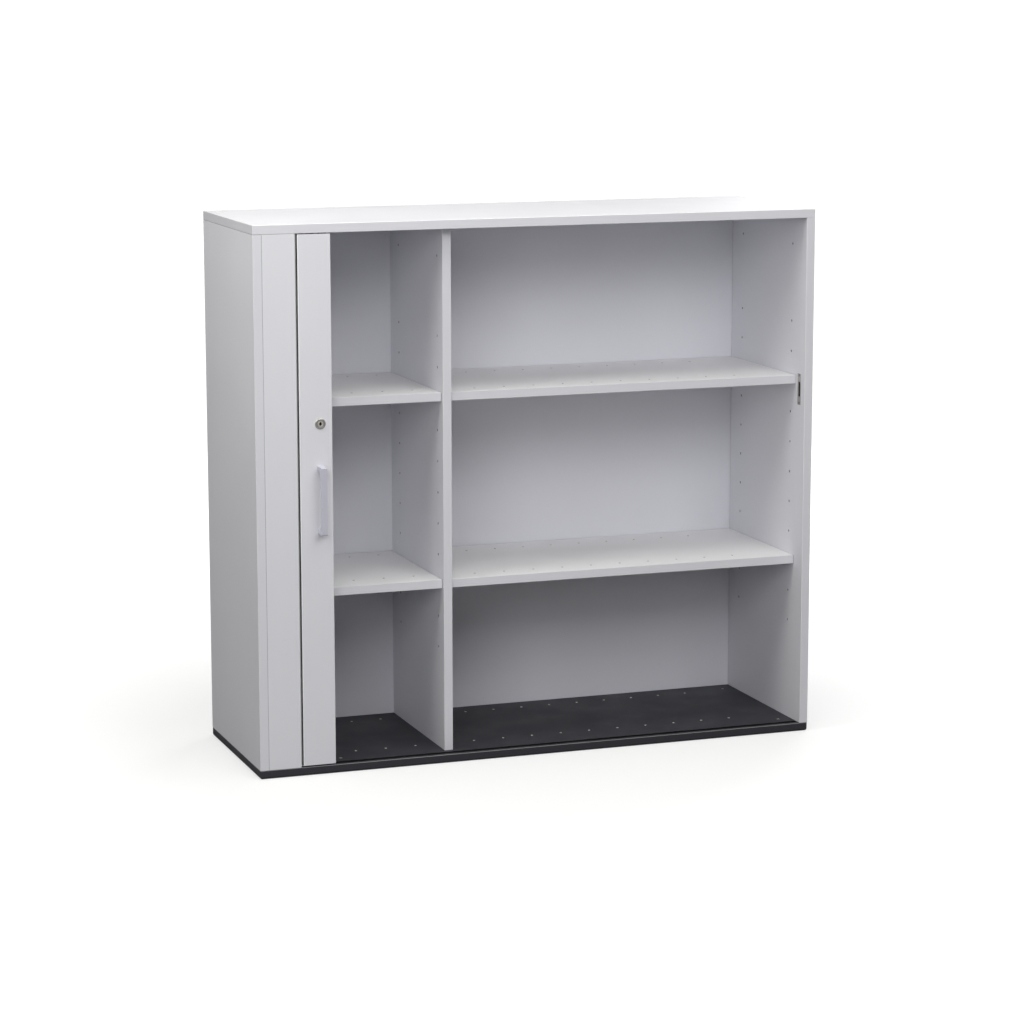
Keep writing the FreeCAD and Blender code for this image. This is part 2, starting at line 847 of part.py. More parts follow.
def main():
    os.makedirs("parts", exist_ok=True)
    save("base_panel", base_panel())
    save("top_panel", top_panel())
    save("left_side_panel", end_panel((-half_width, left_face)))
    save("right_side_panel", right_side_panel())
    save("inner_side_panel", upright((pocket_right, inner_face), (inner_face - pin_hole_depth, inner_face)))
    save("divider_panel", upright((divider_left, divider_right), (divider_left, divider_right)))
    save("back_panel", back_panel())
    save("carcass_dowels", *dowels(upright_centres, 0, 0))
    save("facia_panel", facia_panel())
    save("facia_batten", corner_batten())

    left_bay = (inner_face, divider_left)
    right_bay = (divider_right, right_face)
    for side, bay in (("left", left_bay), ("right", right_bay)):
        for level, row in zip(("lower", "upper"), shelf_rows):
            save(f"{side}_{level}_shelf", shelf(bay, row))
        save(f"{side}_shelf_pins", *shelf_pins(bay))

    for level, upper in (("lower", False), ("upper", True)):
        save(f"{level}_track", track(upper))
        save(f"{level}_glides", *glides(upper))

    hinges = hinge_points(route)
    slats = [slat(a, b) for a, b in zip(hinges, hinges[1:])]
    save("curtain_lead_slat", slats[0])
    save("curtain_corner_slats", *slats[1:1 + front_slats])
    save("curtain_wound_slats", *slats[1 + front_slats:])
    save("curtain_connector", connector(hinges[0]))

    save("leading_board", lead_board())
    save("bow_handle", bow_handle())
    save("handle_screws", *handle_screws())
    save("lock_barrel", lock_barrel())
    save("lock_plug", lock_plug())
    save("lock_hook", lock_hook())
    save("hook_clip", hook_clip())
    save("lock_case", lock_case())
    save("lock_case_screws", *case_screws())
    save("strike_plate", strike_plate())
    save("strike_screws", *strike_screws())

    spots = foot_spots()
    save("foot_sleeves", *[foot_sleeve(x, y) for x, y in spots])
    for name, (x, y) in zip(("left_front", "left_rear", "right_front", "right_rear"), spots):
        save(f"{name}_foot", foot_pad(x, y))
        save(f"{name}_spindle", foot_spindle(x, y))
    print(f"door travel {door_travel:.1f} mm, curtain {slat_pitch * slat_count:.0f} mm long")


main()
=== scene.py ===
# %% [markdown]
# # A tambour door cabinet
# A low office cabinet of grey boards. Its slatted curtain is drawn back into a pocket at the left end, so
# only the curtain's leading board shows, with a handle and a lock. The solids are loaded first and stay
# where they are. Each step below then dresses some of them: boards get eased edges and drilled holes,
# fittings get round forms, and every surface gets a finish made of nodes.

# %% Load the solids
import json
import math

import bmesh
import bpy
import numpy as np
from mathutils import Matrix, Vector

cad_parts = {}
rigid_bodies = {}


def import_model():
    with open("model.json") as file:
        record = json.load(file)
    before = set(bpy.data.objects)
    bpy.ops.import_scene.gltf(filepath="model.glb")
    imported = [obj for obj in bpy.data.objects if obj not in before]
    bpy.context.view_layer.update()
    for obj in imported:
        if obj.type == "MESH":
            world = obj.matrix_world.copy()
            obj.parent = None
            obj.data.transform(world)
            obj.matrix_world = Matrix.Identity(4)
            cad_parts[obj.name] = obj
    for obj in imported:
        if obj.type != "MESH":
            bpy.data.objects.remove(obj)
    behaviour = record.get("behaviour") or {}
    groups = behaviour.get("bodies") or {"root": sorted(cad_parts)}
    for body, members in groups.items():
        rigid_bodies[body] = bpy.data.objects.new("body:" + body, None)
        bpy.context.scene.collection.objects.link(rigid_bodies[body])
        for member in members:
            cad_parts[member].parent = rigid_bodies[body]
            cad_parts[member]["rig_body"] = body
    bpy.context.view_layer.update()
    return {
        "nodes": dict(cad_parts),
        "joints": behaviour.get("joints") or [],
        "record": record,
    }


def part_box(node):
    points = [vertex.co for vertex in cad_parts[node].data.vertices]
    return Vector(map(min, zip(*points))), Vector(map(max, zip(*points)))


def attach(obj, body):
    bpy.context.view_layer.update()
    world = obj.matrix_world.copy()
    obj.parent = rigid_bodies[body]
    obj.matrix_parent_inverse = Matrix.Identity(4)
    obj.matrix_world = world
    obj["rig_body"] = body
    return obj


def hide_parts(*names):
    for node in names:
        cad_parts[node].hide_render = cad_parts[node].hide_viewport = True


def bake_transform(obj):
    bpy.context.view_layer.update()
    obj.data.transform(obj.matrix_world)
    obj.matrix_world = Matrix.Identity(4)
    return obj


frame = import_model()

MM = 0.001
nodes = frame["nodes"]
slot_of = {row["node"]: row["material_slot"] for row in frame["record"]["subparts"]}
joints = {joint["name"]: joint for joint in frame["joints"]}

# %% [markdown]
# ## Camera
# A camera could be placed by eye until the picture looks alike. Here its place, heading and focal length
# were worked out from the carcass's straight edges, so boards, shelves and holes land where the photograph
# has them. The lens is long and stands well back, which keeps the uprights nearly parallel.

# %% Place the camera
FRAME_PX = 1024
FOCAL_PX = 3104.4
SENSOR_MM = 36.0
YAW = math.radians(19.6)
PITCH = math.radians(10.037)
ROLL = math.radians(-0.056)
CAMERA_PLACE = Vector((-2.1454, -6.0350, 1.6094))


def link(thing):
    bpy.context.scene.collection.objects.link(thing)
    return thing


lens = bpy.data.cameras.new("photo_camera")
lens.sensor_width = SENSOR_MM
lens.lens = FOCAL_PX / FRAME_PX * SENSOR_MM
camera = link(bpy.data.objects.new("photo_camera", lens))
heading = Matrix.Rotation(-YAW, 4, "Z") @ Matrix.Rotation(math.pi / 2 - PITCH, 4, "X")
camera.matrix_world = Matrix.Translation(CAMERA_PLACE) @ heading @ Matrix.Rotation(ROLL, 4, "Z")
bpy.context.scene.camera = camera
print(f"camera with a {lens.lens:.1f} mm lens")

# %% [markdown]
# ## Node helpers
# Shader trees and geometry trees are both built from nodes, options and links. Written out, each node takes
# a line for every option and every link. So one small helper adds a node, sets its options, and sets or
# links its inputs, and each tree below reads like a list of steps.

# %% Node helpers
def add(tree, kind, inputs=None, **options):
    """Add a node, set its options, and set or link its inputs by name or number."""
    node = tree.nodes.new(kind)
    for name, value in options.items():
        setattr(node, name, value)
    for name, value in (inputs or {}).items():
        if isinstance(value, bpy.types.NodeSocket):
            tree.links.new(value, node.inputs[name])
        else:
            node.inputs[name].default_value = value
    return node


def start_group(name, kind, inputs, outputs):
    """An empty node group with these sockets, and the sockets of its two end nodes by name."""
    tree = bpy.data.node_groups.new(name, kind)
    for way, rows in (("INPUT", inputs), ("OUTPUT", outputs)):
        for label, socket_kind, *value in rows:
            socket = tree.interface.new_socket(label, in_out=way, socket_type="NodeSocket" + socket_kind)
            if value:
                socket.default_value = value[0]
    return tree, tree.nodes.new("NodeGroupInput").outputs, tree.nodes.new("NodeGroupOutput").inputs


def noise(tree, place, scale, detail=2.0):
    return add(tree, "ShaderNodeTexNoise", {"Vector": place, "Scale": scale, "Detail": detail}).outputs[0]


def remap(tree, value, from_low, from_high, to_low=0.0, to_high=1.0):
    inputs = {0: value, 1: from_low, 2: from_high, 3: to_low, 4: to_high}
    return add(tree, "ShaderNodeMapRange", inputs).outputs[0]


def times(tree, a, b):
    return add(tree, "ShaderNodeMath", {0: a, 1: b}, operation="MULTIPLY").outputs[0]


def blended(tree, share, a, b):
    """Colour a turning into colour b as share goes from 0 to 1."""
    return add(tree, "ShaderNodeMix", {0: share, 6: a, 7: b}, data_type="RGBA").outputs[2]


def grey(level):
    return (level, level, level, 1.0)


print("node helpers ready")

# %% [markdown]
# ## Studio floor
# The picture is a cut-out on white, with a faint shadow round the foot of the cabinet. A plain white floor
# would do, but it would throw much light up into the lower bays, which are dark on the real object. So this
# floor is a light table: it glows for the camera, more so further out, and takes a faint shadow, but gives
# back less light. Its glow is dimmer round the cabinet's foot, which is a painted shadow. It shows only from
# above.

# %% Studio floor
FLOOR_SIDE = 60.0
FLOOR_DROP = 0.2 * MM
FLOOR_BOUNCE = 0.28
FLOOR_SHADOW = 0.45
# The glow is dimmer near the cabinet than far out: a painted shadow round its foot.
GLOW_NEAR, GLOW_FAR = 0.548, 1.1
GLOW_REACH = (0.65, 2.2)
PAINTED_SHADOW_CENTRE = (-0.1, 0.0, 0.0)


def empty_tree(owner):
    """The emptied node tree of a material or a world."""
    owner.use_nodes = True
    owner.node_tree.nodes.clear()
    return owner.node_tree


def by_camera_ray(tree, other, seen):
    """One shader where the camera looks straight at it, and another for all other light."""
    ray = add(tree, "ShaderNodeLightPath").outputs["Is Camera Ray"]
    return add(tree, "ShaderNodeMixShader", {0: ray, 1: other, 2: seen}).outputs[0]


def floor_finish():
    material = bpy.data.materials.new("studio floor")
    tree = empty_tree(material)
    place = add(tree, "ShaderNodeTexCoord").outputs["Object"]
    # Nearer this centre the glow is dimmer, which paints the shadow round the cabinet.
    away = add(tree, "ShaderNodeVectorMath", {0: place, 1: PAINTED_SHADOW_CENTRE}, operation="DISTANCE")
    strength = remap(tree, away.outputs["Value"], *GLOW_REACH, GLOW_NEAR, GLOW_FAR)
    glow = add(tree, "ShaderNodeEmission", {"Strength": strength})
    shade = add(tree, "ShaderNodeBsdfDiffuse", {"Color": grey(FLOOR_SHADOW)})
    seen = add(tree, "ShaderNodeAddShader", {0: glow.outputs[0], 1: shade.outputs[0]}).outputs[0]
    bounced = add(tree, "ShaderNodeBsdfDiffuse", {"Color": grey(FLOOR_BOUNCE)}).outputs[0]
    above = by_camera_ray(tree, bounced, seen)
    below = add(tree, "ShaderNodeBsdfTransparent").outputs[0]
    back = add(tree, "ShaderNodeNewGeometry").outputs["Backfacing"]
    both = add(tree, "ShaderNodeMixShader", {0: back, 1: above, 2: below}).outputs[0]
    add(tree, "ShaderNodeOutputMaterial", {"Surface": both})
    return material


def studio_floor():
    half = FLOOR_SIDE / 2
    corners = [(x, y, -FLOOR_DROP) for x, y in ((-half, -half), (half, -half), (half, half), (-half, half))]
    mesh = bpy.data.meshes.new("studio_floor")
    mesh.from_pydata(corners, [], [(0, 1, 2, 3)])
    mesh.materials.append(floor_finish())
    return link(bpy.data.objects.new("studio_floor", mesh))


studio_floor()
print(f"a floor of {FLOOR_SIDE:.0f} by {FLOOR_SIDE:.0f} m")

# %% [markdown]
# ## Sky and lamps
# In the picture the cabinet's top is nearly white, its front a clear grey, and its left end falls off
# towards the floor. A closed white room would light every side alike. So large soft lamps stand overhead, in
# front, close at the left and behind, under a faint sky that looks white to the camera. The Standard view
# keeps that white as it is.

# %% Sky and lamps
SKY_SEEN = 1.1
SKY_LIGHT = 0.11
WARM = (1.0, 0.99, 0.945)
COOL = (0.985, 0.985, 1.0)
# Name, place, aim, size in metres, watts, colour
LAMPS = (
    ("overhead_lamp", (0.0, -0.4, 3.2), (0.0, 0.0, 1.0), (3.4, 2.2), 51.0, WARM),
    ("front_high_lamp", (0.4, -4.2, 3.0), (0.1, 0.0, 0.7), (3.0, 1.6), 48.0, COOL),
    ("front_left_lamp", (-2.6, -4.2, 2.2), (0.0, 0.0, 0.6), (1.8, 1.8), 51.0, COOL),
    ("front_steep_lamp", (0.1, -2.3, 2.6), (0.1, 0.0, 0.7), (2.6, 1.2), 15.0, WARM),
    ("left_close_lamp", (-1.8, -0.5, 2.0), (-0.6, 0.0, 1.0), (0.9, 0.9), 17.0, WARM),
    ("rear_lamp", (2.6, 2.8, 1.5), (0.3, 0.2, 0.6), (1.6, 1.6), 60.0, COOL),
)


def studio_sky():
    world = bpy.data.worlds.new("studio_sky")
    tree = empty_tree(world)
    light, seen = [add(tree, "ShaderNodeBackground", {"Color": grey(1.0), "Strength": strength}).outputs[0]
                   for strength in (SKY_LIGHT, SKY_SEEN)]
    add(tree, "ShaderNodeOutputWorld", {"Surface": by_camera_ray(tree, light, seen)})
    return world


def lamp(name, place, aim, size, watts, colour):
    data = bpy.data.lights.new(name, "AREA")
    data.shape = "RECTANGLE"
    data.size, data.size_y = size
    data.energy = watts
    data.color = colour
    thing = link(bpy.data.objects.new(name, data))
    thing.location = place
    thing.rotation_euler = (Vector(aim) - Vector(place)).to_track_quat("-Z", "Y").to_euler()


bpy.context.scene.world = studio_sky()
for row in LAMPS:
    lamp(*row)
bpy.context.scene.view_settings.view_transform = "Standard"
print(len(LAMPS), "lamps under the sky")

# %% [markdown]
# ## Pressed skin
# The boards are chipboard under a resin film, pressed against a textured plate. Close up the film has a fine
# pebble, and over a whole board its tone drifts a little. A plain grey would look like painted steel. The
# group mixes both scales and leaves the shader itself to each material. Groups for other stuffs take and
# give the same values, so two helpers start and end each of them.

# %% Shader group: pressed skin
CLOUD_SCALE = 2.4
GLOSS_SCALE = 9.0
CLOUD_RANGE = (0.32, 0.68)
FLECK_RANGE, FLECK_MOST = (0.35, 0.75), 0.35
NOISE_MIDDLE = (0.3, 0.7)


def start_skin(name, *more):
    """An empty group with the inputs and outputs that every finish has."""
    inputs = [("Place", "Vector"), ("Tone", "Color"), ("Second Tone", "Color"),
              ("Low Roughness", "Float", 0.4), ("High Roughness", "Float", 0.5), *more]
    outputs = [("Colour", "Color"), ("Roughness", "Float"), ("Height", "Float")]
    return start_group(name, "ShaderNodeTree", inputs, outputs)


def end_skin(tree, given, result, colour, share, shine, height):
    """Mix the second tone into a colour by a share, and spread the roughness by the noise named shine."""
    tree.links.new(blended(tree, share, colour, given["Second Tone"]), result["Colour"])
    rough = remap(tree, shine, *NOISE_MIDDLE, given["Low Roughness"], given["High Roughness"])
    tree.links.new(rough, result["Roughness"])
    tree.links.new(height, result["Height"])
    return tree


def pressed_skin():
    tree, given, result = start_skin("pressed skin", ("Pebble Size", "Float", 0.9 * MM))
    finer = add(tree, "ShaderNodeMath", {0: 1.0, 1: given["Pebble Size"]}, operation="DIVIDE").outputs[0]
    pebble = noise(tree, given["Place"], finer)
    cloud = remap(tree, noise(tree, given["Place"], CLOUD_SCALE, detail=4.0), *CLOUD_RANGE)
    drift = blended(tree, cloud, given["Tone"], given["Second Tone"])
    fleck = remap(tree, pebble, *FLECK_RANGE, 0.0, FLECK_MOST)
    gloss = noise(tree, given["Place"], GLOSS_SCALE, detail=3.0)
    return end_skin(tree, given, result, drift, fleck, gloss, pebble)


PRESSED_SKIN = pressed_skin()
print("pressed skin:", len(PRESSED_SKIN.nodes), "nodes")

# %% [markdown]
# ## Dust and scuffs
# The dark floor board shows every speck: a little dust lies on it in faint clouds, and files pushed over it
# leave short pale streaks. A painted picture of dust would need unwrapped boards, and noise needs only a
# place. Dust settles on faces that look up, so the group reads the surface's normal. The streaks are noise
# that is stretched along one direction and then cut off near its peaks.

# %% Shader group: dust and scuffs
DUST_SCALE = 14.0
SPECK_SCALE = 420.0
SCUFF_SCALE = 6.0
SCUFF_STRETCH = (5.0, 60.0, 60.0)
LOOKS_UP = (0.6, 0.95)
DUST_RANGE, SPECK_RANGE, SCUFF_RANGE = (0.42, 0.75), (0.66, 0.74), (0.66, 0.72)


def dust_and_scuffs():
    inputs = [("Place", "Vector"), ("Colour", "Color"), ("Dust", "Color"), ("Dust Amount", "Float", 0.2),
              ("Scuff Amount", "Float", 0.2)]
    tree, given, result = start_group("dust and scuffs", "ShaderNodeTree", inputs,
                                      [("Colour", "Color"), ("Mask", "Float")])
    normal = add(tree, "ShaderNodeNewGeometry").outputs["Normal"]
    upward = remap(tree, add(tree, "ShaderNodeSeparateXYZ", {0: normal}).outputs["Z"], *LOOKS_UP)
    cloud = remap(tree, noise(tree, given["Place"], DUST_SCALE, detail=5.0), *DUST_RANGE)
    speck = remap(tree, noise(tree, given["Place"], SPECK_SCALE, detail=1.0), *SPECK_RANGE)
    lying = add(tree, "ShaderNodeMath", {0: cloud, 1: speck}, operation="MAXIMUM").outputs[0]
    dust = times(tree, times(tree, lying, upward), given["Dust Amount"])
    stretched = add(tree, "ShaderNodeMapping", {"Vector": given["Place"], "Scale": SCUFF_STRETCH}).outputs[0]
    streak = remap(tree, noise(tree, stretched, SCUFF_SCALE), *SCUFF_RANGE)
    scuff = times(tree, streak, given["Scuff Amount"])
    mask = add(tree, "ShaderNodeMath", {0: dust, 1: scuff}, operation="ADD", use_clamp=True).outputs[0]
    tree.links.new(blended(tree, mask, given["Colour"], given["Dust"]), result["Colour"])
    tree.links.new(mask, result["Mask"])
    return tree


DUST_AND_SCUFFS = dust_and_scuffs()
print("dust and scuffs:", len(DUST_AND_SCUFFS.nodes), "nodes")

# %% [markdown]
# ## Drawn metal and moulded plastic
# The fittings are satin metal, whose grain runs one way, and the tracks and feet are moulded plastic with a
# fine orange peel. Both could be drawn in each material, but they serve several, so each is a group. The
# grain is noise, stretched by a vector that is small along the grain and large across it.

# %% Shader groups: drawn metal and moulded plastic
SMEAR_SCALE = 120.0
SMEAR_LEAST = 0.4
PEEL_SCALE = 700.0
WEAR_SCALE, WEAR_RANGE = 30.0, (0.4, 0.75)


def drawn_metal():
    tree, given, result = start_skin("drawn metal", ("Grain", "Vector"))
    stretched = add(tree, "ShaderNodeVectorMath", {0: given["Place"], 1: given["Grain"]},
                    operation="MULTIPLY")
    grain = noise(tree, stretched.outputs[0], 1.0, detail=3.0)
    smear = remap(tree, noise(tree, given["Place"], SMEAR_SCALE), *NOISE_MIDDLE, SMEAR_LEAST, 1.0)
    worn = times(tree, remap(tree, grain, *NOISE_MIDDLE), smear)
    return end_skin(tree, given, result, given["Tone"], worn, grain, grain)


def moulded_plastic():
    tree, given, result = start_skin("moulded plastic")
    peel = noise(tree, given["Place"], PEEL_SCALE, detail=1.0)
    worn = remap(tree, noise(tree, given["Place"], WEAR_SCALE, detail=4.0), *WEAR_RANGE)
    return end_skin(tree, given, result, given["Tone"], worn, peel, peel)


DRAWN_METAL = drawn_metal()
MOULDED_PLASTIC = moulded_plastic()
print("drawn metal:", len(DRAWN_METAL.nodes), "nodes, moulded plastic:", len(MOULDED_PLASTIC.nodes), "nodes")

# %% [markdown]
# ## From group to finish
# Each finish is one Principled shader fed by a group: colour, roughness and bump come from the group, and
# plain values such as Metallic are set on the shader itself. Wiring each material by hand would repeat the
# same links, so one function does it. The bump's distance is a real depth in metres.

# %% From group to finish
BUMP_STRENGTH = 0.6


def tone(red, green, blue):
    return (red, green, blue, 1.0)


def new_finish(name, place_kind="Object"):
    """A material with its Principled shader, and where its patterns take their place from."""
    material = bpy.data.materials.new(name)
    material.use_nodes = True
    tree = material.node_tree
    if place_kind == "Object":
        place = add(tree, "ShaderNodeTexCoord").outputs["Object"]
    else:
        place = add(tree, "ShaderNodeAttribute", attribute_name=place_kind).outputs["Vector"]
    return material, tree, tree.nodes["Principled BSDF"], place


def bumped(tree, shader, height, strength, distance):
    bump = add(tree, "ShaderNodeBump", {"Height": height, "Strength": strength, "Distance": distance})
    tree.links.new(bump.outputs[0], shader.inputs["Normal"])


def group_finish(name, group, tones, rough, depth, extra=None, place_kind="Object", dust=None, **fixed):
    """A finish from one group, with dust and scuffs over it where dust gives their values."""
    material, tree, shader, place = new_finish(name, place_kind)
    values = {"Place": place, "Tone": tone(*tones[0]), "Second Tone": tone(*tones[1]),
              "Low Roughness": rough[0], "High Roughness": rough[1], **(extra or {})}
    look = add(tree, "ShaderNodeGroup", values, node_tree=group)
    colour = look.outputs["Colour"]
    if dust:
        values = {"Place": place, "Colour": colour, **dust}
        colour = add(tree, "ShaderNodeGroup", values, node_tree=DUST_AND_SCUFFS).outputs["Colour"]
    tree.links.new(colour, shader.inputs["Base Color"])
    tree.links.new(look.outputs["Roughness"], shader.inputs["Roughness"])
    bumped(tree, shader, look.outputs["Height"], BUMP_STRENGTH, depth)
    for socket, value in fixed.items():
        shader.inputs[socket.replace("_", " ")].default_value = value
    return material


finish_groups = (PRESSED_SKIN, DRAWN_METAL, MOULDED_PLASTIC)
print("finishes are made from", ", ".join(group.name for group in finish_groups))

# %% [markdown]
# ## Boards and slats
# Boards, shelves, edging, back and slats all have the pressed film, and differ only in tone, pebble and
# gloss. So one function makes them, and each is one row of a table. The film's second tone is its first made
# darker by a drop. Eased edges get a paler film of their own, a painted highlight, and the joints between
# boards a darker one, painted shade in the gap. The pebble is a few hundredths of a millimetre deep.

# %% Finishes of boards and slats
PEBBLE_DEPTH = 0.04 * MM
FINE = {"pebble": 0.5 * MM, "depth": PEBBLE_DEPTH / 4}
SATIN = {"Specular_IOR_Level": 0.3}
BOARD_ROUGH = (0.50, 0.62)
SLAT_TONE, SLAT_ROUGH = (0.63, 0.632, 0.655), (0.45, 0.52)
PALE_DUST = {"Dust": tone(0.5, 0.49, 0.47), "Dust Amount": 0.03, "Scuff Amount": 0.05}
DARK_DUST = {"Dust": tone(0.22, 0.22, 0.23), "Dust Amount": 0.008, "Scuff Amount": 0.015}


def film(name, first, drop, rough=(0.40, 0.52), pebble=0.9 * MM, depth=PEBBLE_DEPTH, **more):
    """A pressed film whose second tone is darker by drop."""
    tones = first, [part - drop for part in first]
    return group_finish(name, PRESSED_SKIN, tones, rough, depth, {"Pebble Size": pebble}, **more)


finishes = {
    "grey_board": film("light grey film", (0.768, 0.769, 0.812), 0.020, BOARD_ROUGH, dust=PALE_DUST, **SATIN),
    # The shelf film is paler partly as painted light on the shelf tops.
    "grey_shelf": film("paler grey film", (0.845, 0.846, 0.855), 0.020, BOARD_ROUGH, dust=PALE_DUST, **SATIN),
    "grey_edging": film("light grey edging", (0.742, 0.743, 0.786), 0.018, (0.34, 0.46), 0.5 * MM,
                        PEBBLE_DEPTH / 2),
    # A paler, glossier film for eased edges: a painted highlight.
    "eased_edge": film("eased edge", (0.90, 0.90, 0.92), 0.04, (0.18, 0.28), **FINE),
    "grey_back": film("light grey back", (0.765, 0.765, 0.815), 0.023, BOARD_ROUGH, 1.3 * MM, **SATIN),
    "dark_board": film("anthracite film", (0.040, 0.040, 0.048), 0.003, (0.46, 0.60), dust=DARK_DUST,
                       **SATIN),
    # A paler film for the dark board's eased edges: a painted highlight.
    "dark_eased": film("eased dark edge with painted highlight", (0.20, 0.20, 0.21), 0.02, **FINE),
    # A darker film for the joints between boards: painted shade in the gap.
    "joint_line": film("shaded joint", (0.36, 0.36, 0.38), 0.06, **FINE, **SATIN),
    "grey_curtain": film("grey slats", SLAT_TONE, 0.03, SLAT_ROUGH, 0.7 * MM),
    "drawn_curtain": film("grey slats drawn out", SLAT_TONE, 0.03, SLAT_ROUGH, 0.7 * MM,
                          place_kind="closed_place"),
}
print(len(finishes), "finishes of boards and slats")

# %% [markdown]
# ## Fittings
# The lock is satin nickel, screws and pins are zinc plated, the handle is lacquered grey, and tracks and
# feet are black plastic. A full metal mirrors its room, and this room is dark but for its lamps, so the
# metals are only partly metallic and keep a tone of their own. The grain runs along the piece: up the
# handle, or into the lock.

# %% Finishes of the fittings
GRAIN_DEPTH = 0.01 * MM
UPRIGHT_GRAIN, INWARD_GRAIN, NO_GRAIN = (3000, 3000, 300), (3000, 300, 3000), (900, 900, 900)
PLASTIC_ROUGH = (0.4, 0.6)


def metal(name, first, second, grain, rough=(0.25, 0.40), **more):
    return group_finish(name, DRAWN_METAL, (first, second), rough, GRAIN_DEPTH, {"Grain": grain}, **more)


def plastic(name, first, second, depth, **more):
    return group_finish(name, MOULDED_PLASTIC, (first, second), PLASTIC_ROUGH, depth, **more)


finishes |= {
    "black_track": plastic("black track", (0.007, 0.007, 0.008), (0.014, 0.014, 0.015), 0.02 * MM, **SATIN),
    "black_foot": plastic("black foot", (0.022, 0.022, 0.024), (0.045, 0.044, 0.043), 0.03 * MM),
    "grey_handle": metal("satin handle", (0.57, 0.57, 0.65), (0.52, 0.52, 0.60), UPRIGHT_GRAIN, (0.42, 0.52),
                         **SATIN),
    "nickel_lock": metal("satin nickel", (0.70, 0.68, 0.64), (0.58, 0.56, 0.52), INWARD_GRAIN, Metallic=0.5),
    "nickel_ring": metal("turned nickel", (0.58, 0.56, 0.52), (0.44, 0.42, 0.39), INWARD_GRAIN, (0.18, 0.30),
                         Metallic=0.7),
    "dull_nickel": metal("dull nickel", (0.50, 0.48, 0.45), (0.40, 0.385, 0.36), UPRIGHT_GRAIN, Metallic=0.5),
    "dark_zinc": metal("dark zinc", (0.28, 0.28, 0.29), (0.18, 0.18, 0.19), NO_GRAIN, Metallic=0.45),
    "zinc_steel": metal("zinc plate", (0.80, 0.80, 0.81), (0.66, 0.67, 0.69), NO_GRAIN, Metallic=0.45),
}
print(len(finishes), "finishes from groups in all")

# %% [markdown]
# ## Bare wood
# Some finishes show wood itself. Chipboard shows in the drilled holes: pressed chips of every tone. Noise
# would blur them into clouds, so they are drawn as cells. In the grey boards the core is drawn a dark brown,
# darker than bare chipboard, which paints the shade inside the holes and cuts. In the dark floor board it is
# drawn pale. The dowels and the corner batten are beech, with short fine grain along their length.

# %% Finishes of bare wood
CHIP_SIZE = 1.6 * MM
CHIP_BUMP, CHIP_DEPTH = 0.8, 0.2 * MM
CHIP_ROUGH = 0.85
BEECH_STRETCH = (260.0, 260.0, 14.0)
BEECH_BUMP, BEECH_DEPTH = 0.5, 0.05 * MM
BEECH_GLOSS = (0.2, 0.8, 0.5, 0.7)


def chipboard_finish(name, dark_chip, pale_chip):
    material, tree, shader, place = new_finish(name)
    cells = add(tree, "ShaderNodeTexVoronoi", {"Vector": place, "Scale": 1 / CHIP_SIZE, "Randomness": 1.0})
    shade = add(tree, "ShaderNodeSeparateColor", {0: cells.outputs["Color"]}).outputs[0]
    colour = blended(tree, shade, dark_chip, pale_chip)
    tree.links.new(colour, shader.inputs["Base Color"])
    bumped(tree, shader, cells.outputs["Distance"], CHIP_BUMP, CHIP_DEPTH)
    shader.inputs["Roughness"].default_value = CHIP_ROUGH
    return material


def beech_finish():
    material, tree, shader, place = new_finish("beech")
    along = add(tree, "ShaderNodeMapping", {"Vector": place, "Scale": BEECH_STRETCH}).outputs[0]
    grain = noise(tree, along, 1.0, detail=5.0)
    share = remap(tree, grain, *NOISE_MIDDLE)
    colour = blended(tree, share, tone(0.66, 0.47, 0.30), tone(0.52, 0.35, 0.21))
    tree.links.new(colour, shader.inputs["Base Color"])
    tree.links.new(remap(tree, grain, *BEECH_GLOSS), shader.inputs["Roughness"])
    bumped(tree, shader, grain, BEECH_BUMP, BEECH_DEPTH)
    return material


finishes |= {
    # These chipboard tones are darkened to paint the shade inside holes and cuts.
    "chipboard": chipboard_finish("chipboard darkened as painted shade", tone(0.26, 0.22, 0.18), tone(0.42, 0.38, 0.32)),
    "pale_chipboard": chipboard_finish("pale chipboard", tone(0.74, 0.71, 0.67), tone(0.90, 0.88, 0.85)),
    "raw_timber": beech_finish(),
}
print(len(finishes), "finishes in all")

# %% [markdown]
# ## Finish on every solid
# Each solid has a slot in the record that names its finish. Pieces that are replaced below are hidden later,
# so every solid can be given its finish here, in one loop.

# %% Give each solid its finish
for node, thing in nodes.items():
    if not thing.material_slots:
        thing.data.materials.append(None)
    for place in thing.material_slots:
        place.material = finishes[slot_of[node]]
print(f"{len(nodes)} solids have their finish")

# %% [markdown]
# ## Copies, blocks and cuts
# A solid's mesh is loose triangles, so a copy is merged into whole faces before it is worked on. Where a
# plain board is better made afresh, block gives a box. cut takes one piece out of another by a Boolean
# modifier. The cut faces keep the cutter's finish, so a hole shows the board's core. bake turns what
# modifiers make into a plain mesh, because the next step looks at its faces.

# %% Copies, blocks and cuts
MERGE = 0.001 * MM
FLAT = math.radians(0.5)


def bake(piece):
    """Replace a piece's modifiers by the mesh that they make."""
    depsgraph = bpy.context.evaluated_depsgraph_get()
    made = bpy.data.meshes.new_from_object(piece.evaluated_get(depsgraph), preserve_all_data_layers=True,
                                           depsgraph=depsgraph)
    piece.modifiers.clear()
    piece.data = made
    return piece


def made_piece(name, work, *skins):
    """An object from a bmesh, with these finishes."""
    mesh = bpy.data.meshes.new(name)
    work.to_mesh(mesh)
    work.free()
    for skin in skins:
        mesh.materials.append(finishes[skin])
    return link(bpy.data.objects.new(name, mesh))


